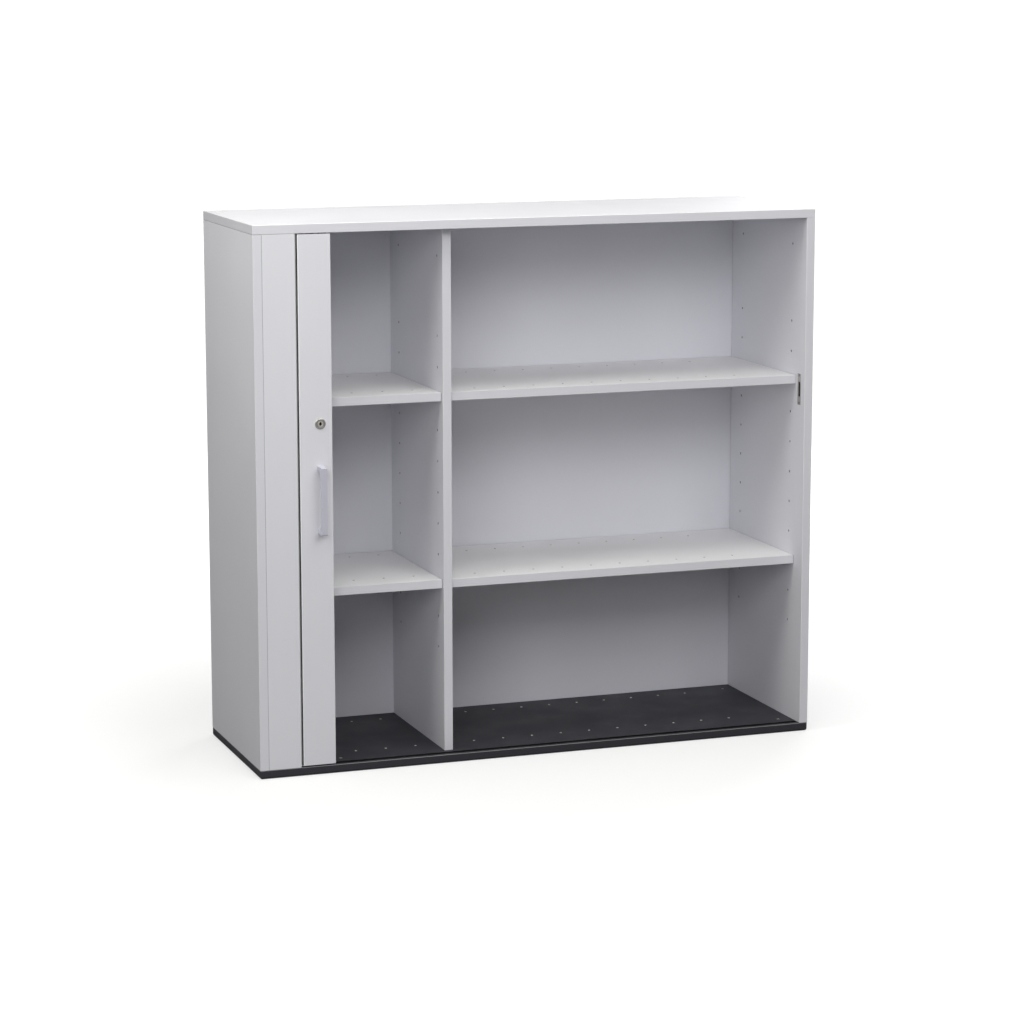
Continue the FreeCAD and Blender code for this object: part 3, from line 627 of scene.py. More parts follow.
def bench_copy(node, name, *skins):
    """A copy of a solid with its loose triangles merged into whole faces."""
    work = bmesh.new()
    work.from_mesh(nodes[node].data)
    for face in work.faces:
        face.material_index = 0
        face.smooth = False
    bmesh.ops.remove_doubles(work, verts=work.verts, dist=MERGE)
    bmesh.ops.dissolve_limit(work, angle_limit=FLAT, verts=work.verts, edges=work.edges)
    return made_piece(name, work, *skins)


def block(name, low, high, *skins):
    """A box between two corners."""
    low, high = Vector(low), Vector(high)
    work = bmesh.new()
    bmesh.ops.create_cube(work, size=1.0)
    for vertex in work.verts:
        share = vertex.co + Vector((0.5, 0.5, 0.5))
        vertex.co = low + Vector(s * (b - a) for s, a, b in zip(share, low, high))
    return made_piece(name, work, *skins)


def cut(piece, *cutters, way="DIFFERENCE"):
    """Take the cutters out of a piece, or keep what is inside them. Cut faces keep the cutter's finish."""
    for cutter in cutters:
        modifier = piece.modifiers.new("cut", "BOOLEAN")
        modifier.object = cutter
        modifier.operation = way
        modifier.solver = "EXACT"
        modifier.material_mode = "TRANSFER"
        bake(piece)
        bpy.data.objects.remove(cutter)
    return piece


print("bench ready for", len(nodes), "solids")

# %% [markdown]
# ## Eased edges
# No edge of a real board is knife-sharp: it is rounded by about half a millimetre, and the round catches the
# light as a thin line. A bevel on every edge would also round grooves and holes. So ease rounds only the
# edges that a test picks, which for boards are the long ones along two sides of the board's box.

# %% Eased edges
SHARP = math.radians(80.0)
EASE, EASE_SEGMENTS = 0.6 * MM, 3
OUTER = 2.0 * MM
EDGE_LEAST = 12.0 * MM
EDGE_WEIGHT = "bevel_weight_edge"


def outer_edge(edge, low, high):
    """Whether an edge is convex, long and along two sides of the piece's box."""
    if not edge.is_manifold or edge.calc_length() < EDGE_LEAST or edge.calc_face_angle_signed() < SHARP:
        return False
    middle = (edge.verts[0].co + edge.verts[1].co) / 2
    sides = [min(abs(m - a), abs(m - b)) < OUTER for m, a, b in zip(middle, low, high)]
    return sum(sides) >= 2


def corners_of(piece):
    places = np.array([vertex.co for vertex in piece.data.vertices])
    return places.min(0), places.max(0)


def ease(piece, width=EASE, segments=EASE_SEGMENTS, chosen=outer_edge):
    """Round the chosen edges of a piece."""
    low, high = corners_of(piece)
    work = bmesh.new()
    work.from_mesh(piece.data)
    weight = work.edges.layers.float.get(EDGE_WEIGHT) or work.edges.layers.float.new(EDGE_WEIGHT)
    for edge in work.edges:
        edge[weight] = float(chosen(edge, low, high))
    work.to_mesh(piece.data)
    work.free()
    modifier = piece.modifiers.new("ease", "BEVEL")
    modifier.limit_method = "WEIGHT"
    modifier.width = width
    modifier.segments = segments
    modifier.use_clamp_overlap = False
    return bake(piece)


print(f"edges are eased by {EASE / MM:.1f} mm")

# %% [markdown]
# ## Edging and painted edge light and shade
# The narrow sides of a board are closed by a glued strip, the edging, a little darker than the faces. Its
# faces could be picked by hand, but a script has to find them again on every run, so they are picked by
# place and by lean. band takes the faces round a board's rim. The faces of the rounding that lean a given
# way get a finish of their own: either a paler one, which is a painted highlight, or a darker one, which is
# painted shade in a joint.

# %% Edging and tinted edges
SLANT = 0.98
LEAN = 0.15
RIM_LEAN = 0.9
BOARD_SKINS = ("grey_board", "grey_edging", "eased_edge", "joint_line")
# Place 2 is the paler edge film, a painted highlight; place 3 the darker one, painted shade in joints.
EDGING, PAINTED_HIGHLIGHT, PAINTED_JOINT_SHADE = 1, 2, 3


def band(piece, thin_axis):
    """Give the faces round a board's rim the edging's finish."""
    low, high = corners_of(piece)
    for face in piece.data.polygons:
        rim = any(min(abs(c - a), abs(c - b)) < OUTER for axis, (c, a, b)
                  in enumerate(zip(face.center, low, high)) if axis != thin_axis)
        if rim and abs(face.normal[thin_axis]) < RIM_LEAN and face.material_index == 0:
            face.material_index = EDGING
    return piece


def paint_edge_light_and_shade(piece, way, index=PAINTED_HIGHLIGHT):
    """Give the eased edges that lean a certain way a finish of their own, by its place in the list: a painted
    highlight or painted shade.
    """
    for face in piece.data.polygons:
        leaning = max(abs(part) for part in face.normal) < SLANT and face.normal.dot(Vector(way)) > LEAN
        if leaning and face.material_index < index:
            face.material_index = index
    return piece


print("a board has", len(BOARD_SKINS), "finishes")

# %% [markdown]
# ## Points in rows
# Holes, pins and screws stand in straight rows with an even step. An Array modifier repeats a piece one way
# at a time. In a geometry tree a line of points can be set on another line, which gives a whole lattice, and
# any piece can be copied onto its points. The trees below share these beginnings and ends. To run a tree,
# grown puts it on an empty object and keeps what it makes as a plain mesh.

# %% Points in rows
GEOMETRY = [("Geometry", "Geometry")]
LINE_INPUTS = GEOMETRY + [("Start", "Vector"), ("Step", "Vector"), ("Count", "Int", 1),
                          ("Finish", "Material")]
GRID_INPUTS = LINE_INPUTS + [("Row Step", "Vector"), ("Rows", "Int", 1), ("Turn", "Vector")]


def line_points(tree, given):
    """Points of one line, from a start, a step and a count."""
    line = {"Count": given["Count"], "Start Location": given["Start"], "Offset": given["Step"]}
    return add(tree, "GeometryNodeMeshLine", line, mode="OFFSET").outputs[0]


def grid_points(tree, given):
    """Points of a lattice, from one line of points set on another."""
    second = {"Count": given["Rows"], "Offset": given["Row Step"]}
    column = add(tree, "GeometryNodeMeshLine", second, mode="OFFSET").outputs[0]
    lines = {"Points": line_points(tree, given), "Instance": column}
    spread = add(tree, "GeometryNodeInstanceOnPoints", lines).outputs[0]
    return add(tree, "GeometryNodeRealizeInstances", {0: spread}).outputs[0]


def end_tree(tree, given, result, spots):
    """Set copies on the spots, make them real, and give them the finish."""
    instances = add(tree, "GeometryNodeInstanceOnPoints", spots).outputs[0]
    solid = add(tree, "GeometryNodeRealizeInstances", {0: instances}).outputs[0]
    dressed = add(tree, "GeometryNodeSetMaterial", {"Geometry": solid, "Material": given["Finish"]})
    tree.links.new(dressed.outputs[0], result["Geometry"])
    return tree


def grown(name, tree, values):
    """Run a geometry tree with these values and keep what it makes as a plain mesh."""
    piece = link(bpy.data.objects.new(name, bpy.data.meshes.new(name)))
    modifier = piece.modifiers.new("grow", "NODES")
    modifier.node_group = tree
    for item in tree.interface.items_tree:
        if item.in_out == "INPUT" and item.name in values:
            modifier[item.identifier] = values[item.name]
    return bake(piece)


print("a lattice takes", ", ".join(label for label, *_ in GRID_INPUTS))

# %% [markdown]
# ## Rows of drilled holes
# Office carcasses are drilled by machine in rows that step by 32 or 64 mm. Placing each hole by hand would
# be long and easy to get wrong. So a geometry tree makes a whole lattice of drills, and the result is cut
# out of the board at once. The drills carry a chipboard finish, which is what shows inside a hole; in the
# grey boards it is darkened, as painted shade.

# %% Geometry tree: drilled rows
DRILL_SIDES = 20


def drilled_rows():
    inputs = GRID_INPUTS + [("Radius", "Float"), ("Depth", "Float")]
    tree, given, result = start_group("drilled rows", "GeometryNodeTree", inputs, GEOMETRY)
    sizes = {"Vertices": DRILL_SIDES, "Radius": given["Radius"], "Depth": given["Depth"]}
    drill = add(tree, "GeometryNodeMeshCylinder", sizes).outputs["Mesh"]
    spots = {"Points": grid_points(tree, given), "Instance": drill, "Rotation": given["Turn"]}
    return end_tree(tree, given, result, spots)


DRILLED_ROWS = drilled_rows()
print("drilled rows:", len(DRILLED_ROWS.nodes), "nodes")

# %% [markdown]
# ## Plain boards
# The top, the left end, the facia and the leading board are boards whose solids already have their grooves
# and cuts. New boxes would lose those, so each is a merged copy with eased edges and edging on its narrow
# sides. The thin bright lines along the boards' edges in the picture come from that rounding and from a paler
# finish on it, a painted highlight. The thin dark ones, beside the facia and under the top, are the joints
# between two boards, where a darker finish on the rounding paints their shade. So each eased edge that shows
# gets one of two finishes.

# %% Top, left end, facia and leading board
THIN_X, THIN_Y, THIN_Z = range(3)
LEFT, RIGHT, UP = (-1, 0, 0), (1, 0, 0), (0, 0, 1)
# Solid, the axis it is thin along, and the eased edges that show: which way each leans, and its finish
PLAIN_BOARDS = (
    ("top_panel", THIN_Z, [(UP, PAINTED_HIGHLIGHT)]),
    ("left_side_panel", THIN_X, [(UP, PAINTED_JOINT_SHADE)]),
    ("facia_panel", THIN_Y, [(RIGHT, PAINTED_HIGHLIGHT), (LEFT, PAINTED_JOINT_SHADE)]),
    ("leading_board", THIN_Y, [(LEFT, PAINTED_HIGHLIGHT), (RIGHT, PAINTED_HIGHLIGHT), (UP, PAINTED_HIGHLIGHT)]),
)


def stands_for(piece, *replaced, body=None, slot=None):
    """Let a piece ride where the solids did, and hide them."""
    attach(piece, body or nodes[replaced[0]]["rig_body"])
    if replaced:
        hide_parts(*replaced)
    print(piece.name, len(piece.data.polygons), "faces")


for node, thin, edges in PLAIN_BOARDS:
    board = band(ease(bench_copy(node, f"finished_{node}", *BOARD_SKINS)), thin)
    for way, skin in edges:
        paint_edge_light_and_shade(board, way, skin)
    stands_for(board, node)

# The side of the leading board that meets the slats has a dark edge, which also paints the shade in the
# gap beside the facia.
painted_shade_side = bpy.data.objects["finished_leading_board"].data
painted_shade_side.materials.append(finishes["black_track"])
for face in painted_shade_side.polygons:
    if face.normal.x < -SLANT:
        face.material_index = len(painted_shade_side.materials) - 1

# %% [markdown]
# ## Pin holes
# Shelf pins go into rows of 5 mm holes, 64 mm apart, in two columns on each wall. One spare hole near the
# top is out of step with the rest. All could be one list of places, but two lattices say the same in a few
# numbers: one for the even rows, and one for the spare pair.

# %% Pin holes
PIN_HOLE = 5.2 * MM
PIN_HOLE_DEPTH = 8.5 * MM
PIN_FIRST = 229.5 * MM
PIN_STEP = 64.0 * MM
PIN_ROWS = 11
PIN_SPARE = 1031.0 * MM
PIN_FRONT = -126.0 * MM
PIN_REAR = 130.0 * MM
PASS = 1.0 * MM
TO_X = (0.0, math.pi / 2, 0.0)


def pin_drills(x_low, x_high):
    """Drills for both columns of pin holes between two places along X."""
    common = {"Step": (0.0, PIN_REAR - PIN_FRONT, 0.0), "Count": 2, "Turn": TO_X, "Radius": PIN_HOLE / 2,
              "Depth": x_high - x_low, "Finish": finishes["chipboard"]}
    middle = (x_low + x_high) / 2
    rows = {"Start": (middle, PIN_FRONT, PIN_FIRST), "Row Step": (0.0, 0.0, PIN_STEP), "Rows": PIN_ROWS}
    spare = {"Start": (middle, PIN_FRONT, PIN_SPARE), "Rows": 1}
    return [grown("pin_drills", DRILLED_ROWS, {**common, **part}) for part in (rows, spare)]


print(PIN_ROWS, "rows of pin holes and a spare one")

# %% [markdown]
# ## Drilled uprights
# The right end, the divider and the pocket's inner wall carry the shelves. Their solids have six-sided
# holes, which can't be made round. So these three boards are made afresh at the solids' own boxes, eased,
# and drilled. The right end also has the rebate for the back board and the pocket for the lock's hook.

# %% Right end, divider and inner side
POCKET_WIDTH = 10.0 * MM
POCKET_BELOW, POCKET_ABOVE = 25.5 * MM, 16.0 * MM
POCKET_DEPTH = 13.6 * MM


def box_cutter(node, past=(0, 0, 0)):
    """The box of a solid as a cutter, stretched past its faces by this much each way."""
    low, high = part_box(node)
    return block("box_cutter", low - Vector(past), high + Vector(past), "chipboard")


def strike_pocket():
    """The pocket behind the strike plate, long and deep enough for the hook to swing in.
    Its black finish is painted shade inside it.
    """
    low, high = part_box("strike_plate")
    middle = (low + high) / 2
    half = POCKET_WIDTH / 2
    return block("strike_pocket", (low.x - PASS, middle.y - half, middle.z - POCKET_BELOW),
                 (low.x + POCKET_DEPTH, middle.y + half, middle.z + POCKET_ABOVE), "black_track")


def upright(node, drilled, *cutters):
    """A new board at a solid's box, eased, cut, drilled between two places along X, and edged. Its eased
    edges that lean left get a painted highlight.
    """
    board = paint_edge_light_and_shade(ease(block(f"finished_{node}", *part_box(node), *BOARD_SKINS)), LEFT)
    stands_for(band(cut(board, *cutters, *pin_drills(*drilled)), THIN_X), node)


right_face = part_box("right_side_panel")[0].x
upright("right_side_panel", (right_face - PASS, right_face + PIN_HOLE_DEPTH),
        box_cutter("back_panel", (0, PASS, 0)), box_cutter("strike_plate"), strike_pocket())
divider_low, divider_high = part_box("divider_panel")
upright("divider_panel", (divider_low.x - PASS, divider_high.x + PASS))
inner_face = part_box("inner_side_panel")[1].x
upright("inner_side_panel", (inner_face - PIN_HOLE_DEPTH, inner_face + PASS))

# %% [markdown]
# ## Shelves
# The loose shelves have rows of small holes, also 64 mm apart, for fittings that are not there. The solids
# carry the notches for the shelf pins, which new boxes would lose, so merged copies are eased and drilled.
# Their film is a little paler than the carcass's, partly to make up for light that their tops lack, and
# their upper eased edges get a paler finish, a painted highlight.

# %% Shelves
FITTING_HOLE = 5.0 * MM
FITTING_DEPTH = 9.0 * MM
HOLES_LEFT = (-373.0 * MM, 3)
HOLES_RIGHT = (-117.0 * MM, 10)
SHELF_HOLE_ROWS = {"left": (-97.0 * MM, 147.0 * MM), "right": (-110.0 * MM, 131.0 * MM)}


def fitting_drills(top, first, count, rows, core):
    """Two rows of drills down into a board's top face, with the finish of its core."""
    deep = FITTING_DEPTH + PASS
    values = {"Start": (first, rows[0], top + PASS - deep / 2), "Step": (PIN_STEP, 0.0, 0.0), "Count": count,
              "Row Step": (0.0, rows[1] - rows[0], 0.0), "Rows": 2, "Radius": FITTING_HOLE / 2,
              "Depth": deep, "Finish": finishes[core]}
    return grown("fitting_drills", DRILLED_ROWS, values)


for side, (first, count) in (("left", HOLES_LEFT), ("right", HOLES_RIGHT)):
    for level in ("lower", "upper"):
        node = f"{side}_{level}_shelf"
        shelf = paint_edge_light_and_shade(ease(bench_copy(node, f"finished_{node}", "grey_shelf", *BOARD_SKINS[1:])), UP)
        cut(shelf, fitting_drills(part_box(node)[1].z, first, count, SHELF_HOLE_ROWS[side], "chipboard"))
        stands_for(band(shelf, THIN_Z), node)

# %% [markdown]
# ## Floor board
# The dark floor board has the same holes, drawn in a pale finish, so they show as pale dots. Its outer edges
# are rounded, most of all the lower ones, and the rounding of its upper edges gets a paler finish, a painted
# highlight. Rounding the grooved copy itself leaves gaps at its corners. So a plain block is rounded, and of
# the copy only what lies inside that block is kept. The block is a hair smaller, because a Boolean can lose
# faces that lie in one plane.

# %% Floor board
FLOOR_HOLE_ROWS = (-102.0 * MM, 141.0 * MM)
FLOOR_SKINS = ("dark_board", "dark_eased")
DARK_PAINTED_HIGHLIGHT = 1
BASE_ROUND = 5.2 * MM
ROUND_SEGMENTS = 6
CORNER_SHARE, UPPER_SHARE = 0.6, 0.3
HAIR = 0.02 * MM


def base_edge(edge, low, high):
    """The share of the full rounding: all for lower edges, less for uprights, least for upper edges."""
    heights = [vertex.co.z - low[2] for vertex in edge.verts]
    if max(heights) < OUTER:
        return 1.0
    return CORNER_SHARE if min(heights) < OUTER else UPPER_SHARE


def soft_form(node):
    """A block a hair inside a solid's box, with all its edges rounded and a painted highlight on the upper
    ones.
    """
    low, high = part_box(node)
    hair = Vector((HAIR, HAIR, HAIR))
    form = block("soft_form", low + hair, high - hair, *FLOOR_SKINS)
    return paint_edge_light_and_shade(ease(form, BASE_ROUND, ROUND_SEGMENTS, base_edge), UP, DARK_PAINTED_HIGHLIGHT)


floor_board = bench_copy("base_panel", "finished_base_panel", *FLOOR_SKINS)
cut(floor_board, soft_form("base_panel"), way="INTERSECT")
floor_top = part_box("base_panel")[1].z
for first, count in (HOLES_LEFT, HOLES_RIGHT):
    cut(floor_board, fitting_drills(floor_top, first, count, FLOOR_HOLE_ROWS, "pale_chipboard"))
stands_for(floor_board, "base_panel")

# %% [markdown]
# ## Turned pieces
# Lock, screws and feet are round, with lips and domes that a stock cylinder lacks. Each is an outline of
# radius and height that is turned about an axis, as a lathe makes round pieces. Points on the axis become
# one vertex, so poles are closed.

# %% Turning tool
SMOOTH_UNDER = math.radians(35.0)


def skin_rings(work, rings, loop=False):
    """Faces between each ring of points and the next. A ring of one point is a pole."""
    sides = max(len(ring) for ring in rings)
    for first, second in zip(rings, rings[1:] + (rings[:1] if loop else [])):
        for step in range(sides):
            after = (step + 1) % sides
            corners = [first[step % len(first)], first[after % len(first)],
                       second[after % len(second)], second[step % len(second)]]
            work.faces.new(list(dict.fromkeys(corners)))


def turned(name, outline, centre, skin, axis="Z", sides=48, loop=False):
    """Turn an outline of (radius, height) points about an axis through centre. A loop closes on itself."""
    work = bmesh.new()
    rings = []
    for radius, height in outline:
        ring = []
        for step in range(sides if radius > 0 else 1):
            angle = 2 * math.pi * step / sides
            a, b = radius * math.cos(angle), radius * math.sin(angle)
            place = {"X": (height, a, b), "Y": (a, height, b), "Z": (a, b, height)}[axis]
            ring.append(work.verts.new(Vector(centre) + Vector(place)))
        rings.append(ring)
    skin_rings(work, rings, loop)
    bmesh.ops.recalc_face_normals(work, faces=work.faces)
    return smooth(made_piece(name, work, skin))


def smooth(piece):
    piece.data.shade_smooth()
    piece.data.set_sharp_from_angle(angle=SMOOTH_UNDER)
    return piece


print("turning tool ready")

# %% [markdown]
# ## Copies in rows
# Pins and screws are many of a kind. Linked copies placed one by one would work, but the places are lattices
# again. So a second geometry tree sets copies of any given piece on a lattice. Where a set needs two
# lattices, what they make is joined into one piece.

# %% Geometry tree: rows of one piece
def rows_of_one_piece():
    inputs = GRID_INPUTS + [("Piece", "Object")]
    tree, given, result = start_group("rows of one piece", "GeometryNodeTree", inputs, GEOMETRY)
    source = add(tree, "GeometryNodeObjectInfo", {"Object": given["Piece"]}).outputs["Geometry"]
    spots = {"Points": grid_points(tree, given), "Instance": source, "Rotation": given["Turn"]}
    return end_tree(tree, given, result, spots)


ROWS_OF_ONE_PIECE = rows_of_one_piece()


def joined(name, pieces):
    """Several pieces as one mesh."""
    work = bmesh.new()
    skins = []
    for piece in pieces:
        start = len(work.faces)
        work.from_mesh(piece.data)
        work.faces.ensure_lookup_table()
        for face in work.faces[start:]:
            skin = piece.data.materials[face.material_index]
            if skin not in skins:
                skins.append(skin)
            face.material_index = skins.index(skin)
        bpy.data.objects.remove(piece)
    whole = made_piece(name, work)
    for skin in skins:
        whole.data.materials.append(skin)
    return smooth(whole)


def copies(name, master, *lattices, skin="zinc_steel"):
    """Copies of a master on each lattice, as one piece. The master itself is removed."""
    rows = [grown(name, ROWS_OF_ONE_PIECE, {"Piece": master, "Finish": finishes[skin], **lattice})
            for lattice in lattices]
    bpy.data.objects.remove(master)
    return joined(name, rows) if len(rows) > 1 else smooth(rows[0])


print("rows of one piece:", len(ROWS_OF_ONE_PIECE.nodes), "nodes")

# %% [markdown]
# ## Shelf pins
# Each shelf lies on four steel pins with a rounded nose. Their solids have flat sides, so one round pin is
# turned and copied. The pins of a bay's two walls point at each other, so there is one lattice for each
# wall.

# %% Shelf pins
PIN_RADIUS = 2.5 * MM
PIN_NOSE = 0.8 * MM
NOSE_SHARE = 0.3
PIN_LENGTH = 15.3 * MM
PIN_SIDES = 20
PIN_RISE = 2.0 * MM


def pin_master():
    outline = [(0, 0), (PIN_RADIUS, 0), (PIN_RADIUS, PIN_LENGTH - PIN_NOSE),
               (PIN_RADIUS - NOSE_SHARE * PIN_NOSE, PIN_LENGTH - NOSE_SHARE * PIN_NOSE),
               (PIN_RADIUS - PIN_NOSE, PIN_LENGTH), (0, PIN_LENGTH)]
    return turned("pin_master", outline, (0, 0, 0), "zinc_steel", axis="X", sides=PIN_SIDES)


for side in ("left", "right"):
    low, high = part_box(f"{side}_shelf_pins")
    lower, upper = [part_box(f"{side}_{level}_shelf")[0].z for level in ("lower", "upper")]
    rows = {"Step": (0.0, high.y - low.y - 2 * PIN_RADIUS, 0.0), "Count": 2,
            "Row Step": (0.0, 0.0, upper - lower), "Rows": 2}
    foot = (low.y + PIN_RADIUS, lower + PIN_RISE)
    pins = copies(f"round_{side}_pins", pin_master(), {**rows, "Start": (low.x, *foot)},
                  {**rows, "Start": (high.x, *foot), "Turn": (0.0, 0.0, math.pi)})
    stands_for(pins, f"{side}_shelf_pins")

# %% [markdown]
# ## Screws
# Two kinds of screw are used: pan heads that hold the handle and the lock case from behind, and flat heads
# in the strike plate and round the back. Cutting the cross recess into every screw would be slow, so it is
# cut into one master of each size, and the tree sets the copies.

# %% Screw masters
RECESS_WIDTH = 1.0 * MM
RECESS_DEPTH = 1.3 * MM
RECESS_SHARE = 0.55
PAN_SIDES, FLAT_SIDES = 32, 28
DOME_STEPS, DOME_RIM = 6, 0.35
TIP_SHARE = 0.3
HEAD_RIM = 0.2 * MM


def screw_master(name, outline, sides, top, head):
    """Turn a screw along Y, and cut a cross into its head, whose top is at this height."""
    piece = turned(name, outline, (0, 0, 0), "zinc_steel", axis="Y", sides=sides)
    half, deep, span = RECESS_WIDTH / 2, top - RECESS_DEPTH, head * RECESS_SHARE
    for wide, tall in ((span / 2, half), (half, span / 2)):
        cut(piece, block("recess", (-wide, deep, -tall), (wide, top + PASS, tall), "zinc_steel"))
    return smooth(piece)


def pan_screw(shank, head, height, length):
    """Screw along Y: the shank goes to -Y, and the domed head stands on +Y."""
    angles = [math.radians(90 * step / DOME_STEPS) for step in range(DOME_STEPS)]
    dome = [(head / 2 * math.cos(a), height * (DOME_RIM + (1 - DOME_RIM) * math.sin(a))) for a in angles]
    outline = [(0, -length), (shank * TIP_SHARE, -length), (shank / 2, -length + shank / 2), (shank / 2, 0),
               (head / 2, 0), *dome, (0, height)]
    return screw_master("pan_master", outline, PAN_SIDES, height, head)


def flat_screw(shank, head, length):
    """Screw along Y with its flat head level with y 0, and its point towards -Y."""
    sink = (head - shank) / 2
    outline = [(0, -length), (shank / 2, -length + shank / 2), (shank / 2, -sink), (head / 2, -HEAD_RIM),
               (head / 2 - HEAD_RIM, 0), (0, 0)]
    return screw_master("flat_master", outline, FLAT_SIDES, 0.0, head)


print("masters for pan and flat screws ready")

# %% [markdown]
# ## Screws of handle and lock case
# The handle's two screws come through the leading board from behind, and two more hold the lock case there.
# Their places could be typed in, but the solids' boxes already give them. Each pair stands one above the
# other, so a lattice of one by two is enough.

# %% Screws of handle and lock case
# Piece, solid, and the screw's shank, head, head height and length in mm
PAN_SCREWS = (("cross_handle_screws", "handle_screws", 4.0, 8.0, 2.4, 27.0),
              ("cross_case_screws", "lock_case_screws", 3.5, 7.0, 2.4, 12.5))

for name, node, *sizes in PAN_SCREWS:
    shank, head, height, length = [size * MM for size in sizes]
    low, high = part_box(node)
    pair = {"Start": ((low.x + high.x) / 2, high.y - height, low.z + head / 2),
            "Row Step": (0.0, 0.0, high.z - low.z - head), "Rows": 2}
    stands_for(copies(name, pan_screw(shank, head, height, length), pair), node)

# %% [markdown]
# ## Back screws
# The back board lies in a rebate and is screwed all round, as such backs are. The screws follow the rebate's
# middle, evenly spaced, with their heads level with the board. They are a guess, because the picture doesn't
# show the back.

# %% Screws round the back board
BACK_SCREW_INSET = 5.0 * MM
BACK_SCREW_COLUMNS = 7
BACK_SCREW_ROWS = 6
WOOD_SHANK = 3.5 * MM
BACK_HEAD, BACK_LENGTH = 7.0 * MM, 14.0 * MM


def back_screws():
    low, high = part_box("back_panel")
    left, right = low.x + BACK_SCREW_INSET, high.x - BACK_SCREW_INSET
    bottom, top = low.z + BACK_SCREW_INSET, high.z - BACK_SCREW_INSET
    across = (right - left) / (BACK_SCREW_COLUMNS - 1)
    upward = (top - bottom) / (BACK_SCREW_ROWS - 1)
    level_rows = {"Start": (left, high.y, bottom), "Step": (across, 0.0, 0.0), "Count": BACK_SCREW_COLUMNS,
                  "Row Step": (0.0, 0.0, top - bottom), "Rows": 2}
    upright_rows = {"Start": (left, high.y, bottom + upward), "Step": (right - left, 0.0, 0.0), "Count": 2,
                    "Row Step": (0.0, 0.0, upward), "Rows": BACK_SCREW_ROWS - 2}
    return copies("back_screws", flat_screw(WOOD_SHANK, BACK_HEAD, BACK_LENGTH), level_rows, upright_rows)


stands_for(back_screws(), body="cabinet", slot="zinc_steel")

# %% [markdown]
# ## Handle
# The handle is a square bow with crisp but eased edges, satin coated. It could be built anew from boxes, but
# its solid has the right form, gussets and all, so a merged copy is rounded on every outer edge. The
# rounding gives the bright line along its top edge.

# %% Bow handle
HANDLE_EASE = 0.35 * MM
CORNER_LEAST = 1.4 * MM
ROUND = math.radians(20.0)


def any_corner(edge, low, high):
    return edge.is_manifold and edge.calc_face_angle_signed() > ROUND and edge.calc_length() > CORNER_LEAST


handle = bench_copy("bow_handle", "satin_bow_handle", "grey_handle")
stands_for(ease(handle, HANDLE_EASE, chosen=any_corner), "bow_handle")

# %% [markdown]
# ## Lock
# The lock shows a rosette with a turned lip, which is the front of a sleeve in the leading board. Its solid
# has flat sides, so it is turned anew about the lock's own axis. The outline is a closed loop, because the
# sleeve is hollow.

# %% Lock rosette
# Radius and depth in mm, from the bore over the lip to the flange's back
ROSETTE_FACE = ((6.15, 0.5), (6.35, 0.15), (6.8, 0.0), (8.9, 0.0), (9.4, 0.25), (9.9, 0.25),
                (10.4, 0.5), (10.9, 1.0), (11.0, 1.5), (11.0, 2.0), (9.0, 2.0))
ROSETTE_SIDES = 72
BARREL_BORE, BARREL_RADIUS = 6.15 * MM, 9.0 * MM


def in_mm(outline):
    return [(radius * MM, height * MM) for radius, height in outline]


def rosette(place, length):
    outline = in_mm(ROSETTE_FACE) + [(BARREL_RADIUS, length), (BARREL_BORE, length)]
    return turned("nickel_rosette", outline, place, "nickel_ring", axis="Y", sides=ROSETTE_SIDES, loop=True)


low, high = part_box("lock_barrel")
lock_centre = Vector(((low.x + high.x) / 2, low.y, (low.z + high.z) / 2))
stands_for(rosette(lock_centre, high.y - low.y), "lock_barrel")

# %% [markdown]
# ## Key plug
# The plug inside the rosette turns with the key, so it is a piece of its own. Its keyhole is cut, which shows
# its depth, and has a black finish inside, which is painted shade. A round keyway and a slot are cut, and the
# square tail that carries the hook is a block.

# %% Key plug
# Radius and depth in mm, from the plug's middle out
PLUG_FACE = ((0, 0.25), (4.6, 0.25), (4.9, 0.0), (5.6, 0.0), (6.0, 0.4))
PLUG_SIDES, KEYWAY_SIDES = 64, 24
PLUG_RADIUS = 6.0 * MM
KEYWAY_RADIUS, KEY_DEPTH = 2.7 * MM, 8.0 * MM
KEY_SLOT = Vector((1.1 * MM, 0, 4.0 * MM))
TAIL_HALF = 3.0 * MM


def key_plug(place):
    hook_face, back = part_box("lock_hook")[0].y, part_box("lock_plug")[1].y
    depth = hook_face - place.y
    outline = in_mm(PLUG_FACE) + [(PLUG_RADIUS, depth), (0, depth)]
    body = turned("plug_body", outline, place, "nickel_lock", axis="Y", sides=PLUG_SIDES)
    slot_low = place - KEY_SLOT - Vector((0, PASS, 0))
    slot_high = place + KEY_SLOT + Vector((0, KEY_DEPTH, 0))
    # The black finish inside slot and keyway is painted shade.
    cut(body, block("key_slot", slot_low, slot_high, "black_track"))
    keyway = [(0, -PASS), (KEYWAY_RADIUS, -PASS), (KEYWAY_RADIUS, KEY_DEPTH), (0, KEY_DEPTH)]
    cut(body, turned("keyway", keyway, place, "black_track", axis="Y", sides=KEYWAY_SIDES))
    square = block("plug_tail", (place.x - TAIL_HALF, hook_face, place.z - TAIL_HALF),
                   (place.x + TAIL_HALF, back, place.z + TAIL_HALF), "nickel_lock")
    return joined("nickel_key_plug", [body, square])


stands_for(key_plug(lock_centre), "lock_plug")

# %% [markdown]
# ## Strike plate
# The lock's hook catches in a slotted plate let into the right end. A new plate would need its slot cut
# again, so this is a merged copy with softened edges. Its two flat screws are turned to face into the
# cabinet.

# %% Strike plate and screws
PLATE_EASE, PLATE_SEGMENTS = 0.25 * MM, 2
STRIKE_HEAD, STRIKE_LENGTH = 6.4 * MM, 12.0 * MM

plate = bench_copy("strike_plate", "nickel_strike_plate", "dull_nickel")
stands_for(ease(plate, PLATE_EASE, PLATE_SEGMENTS, any_corner), "strike_plate")

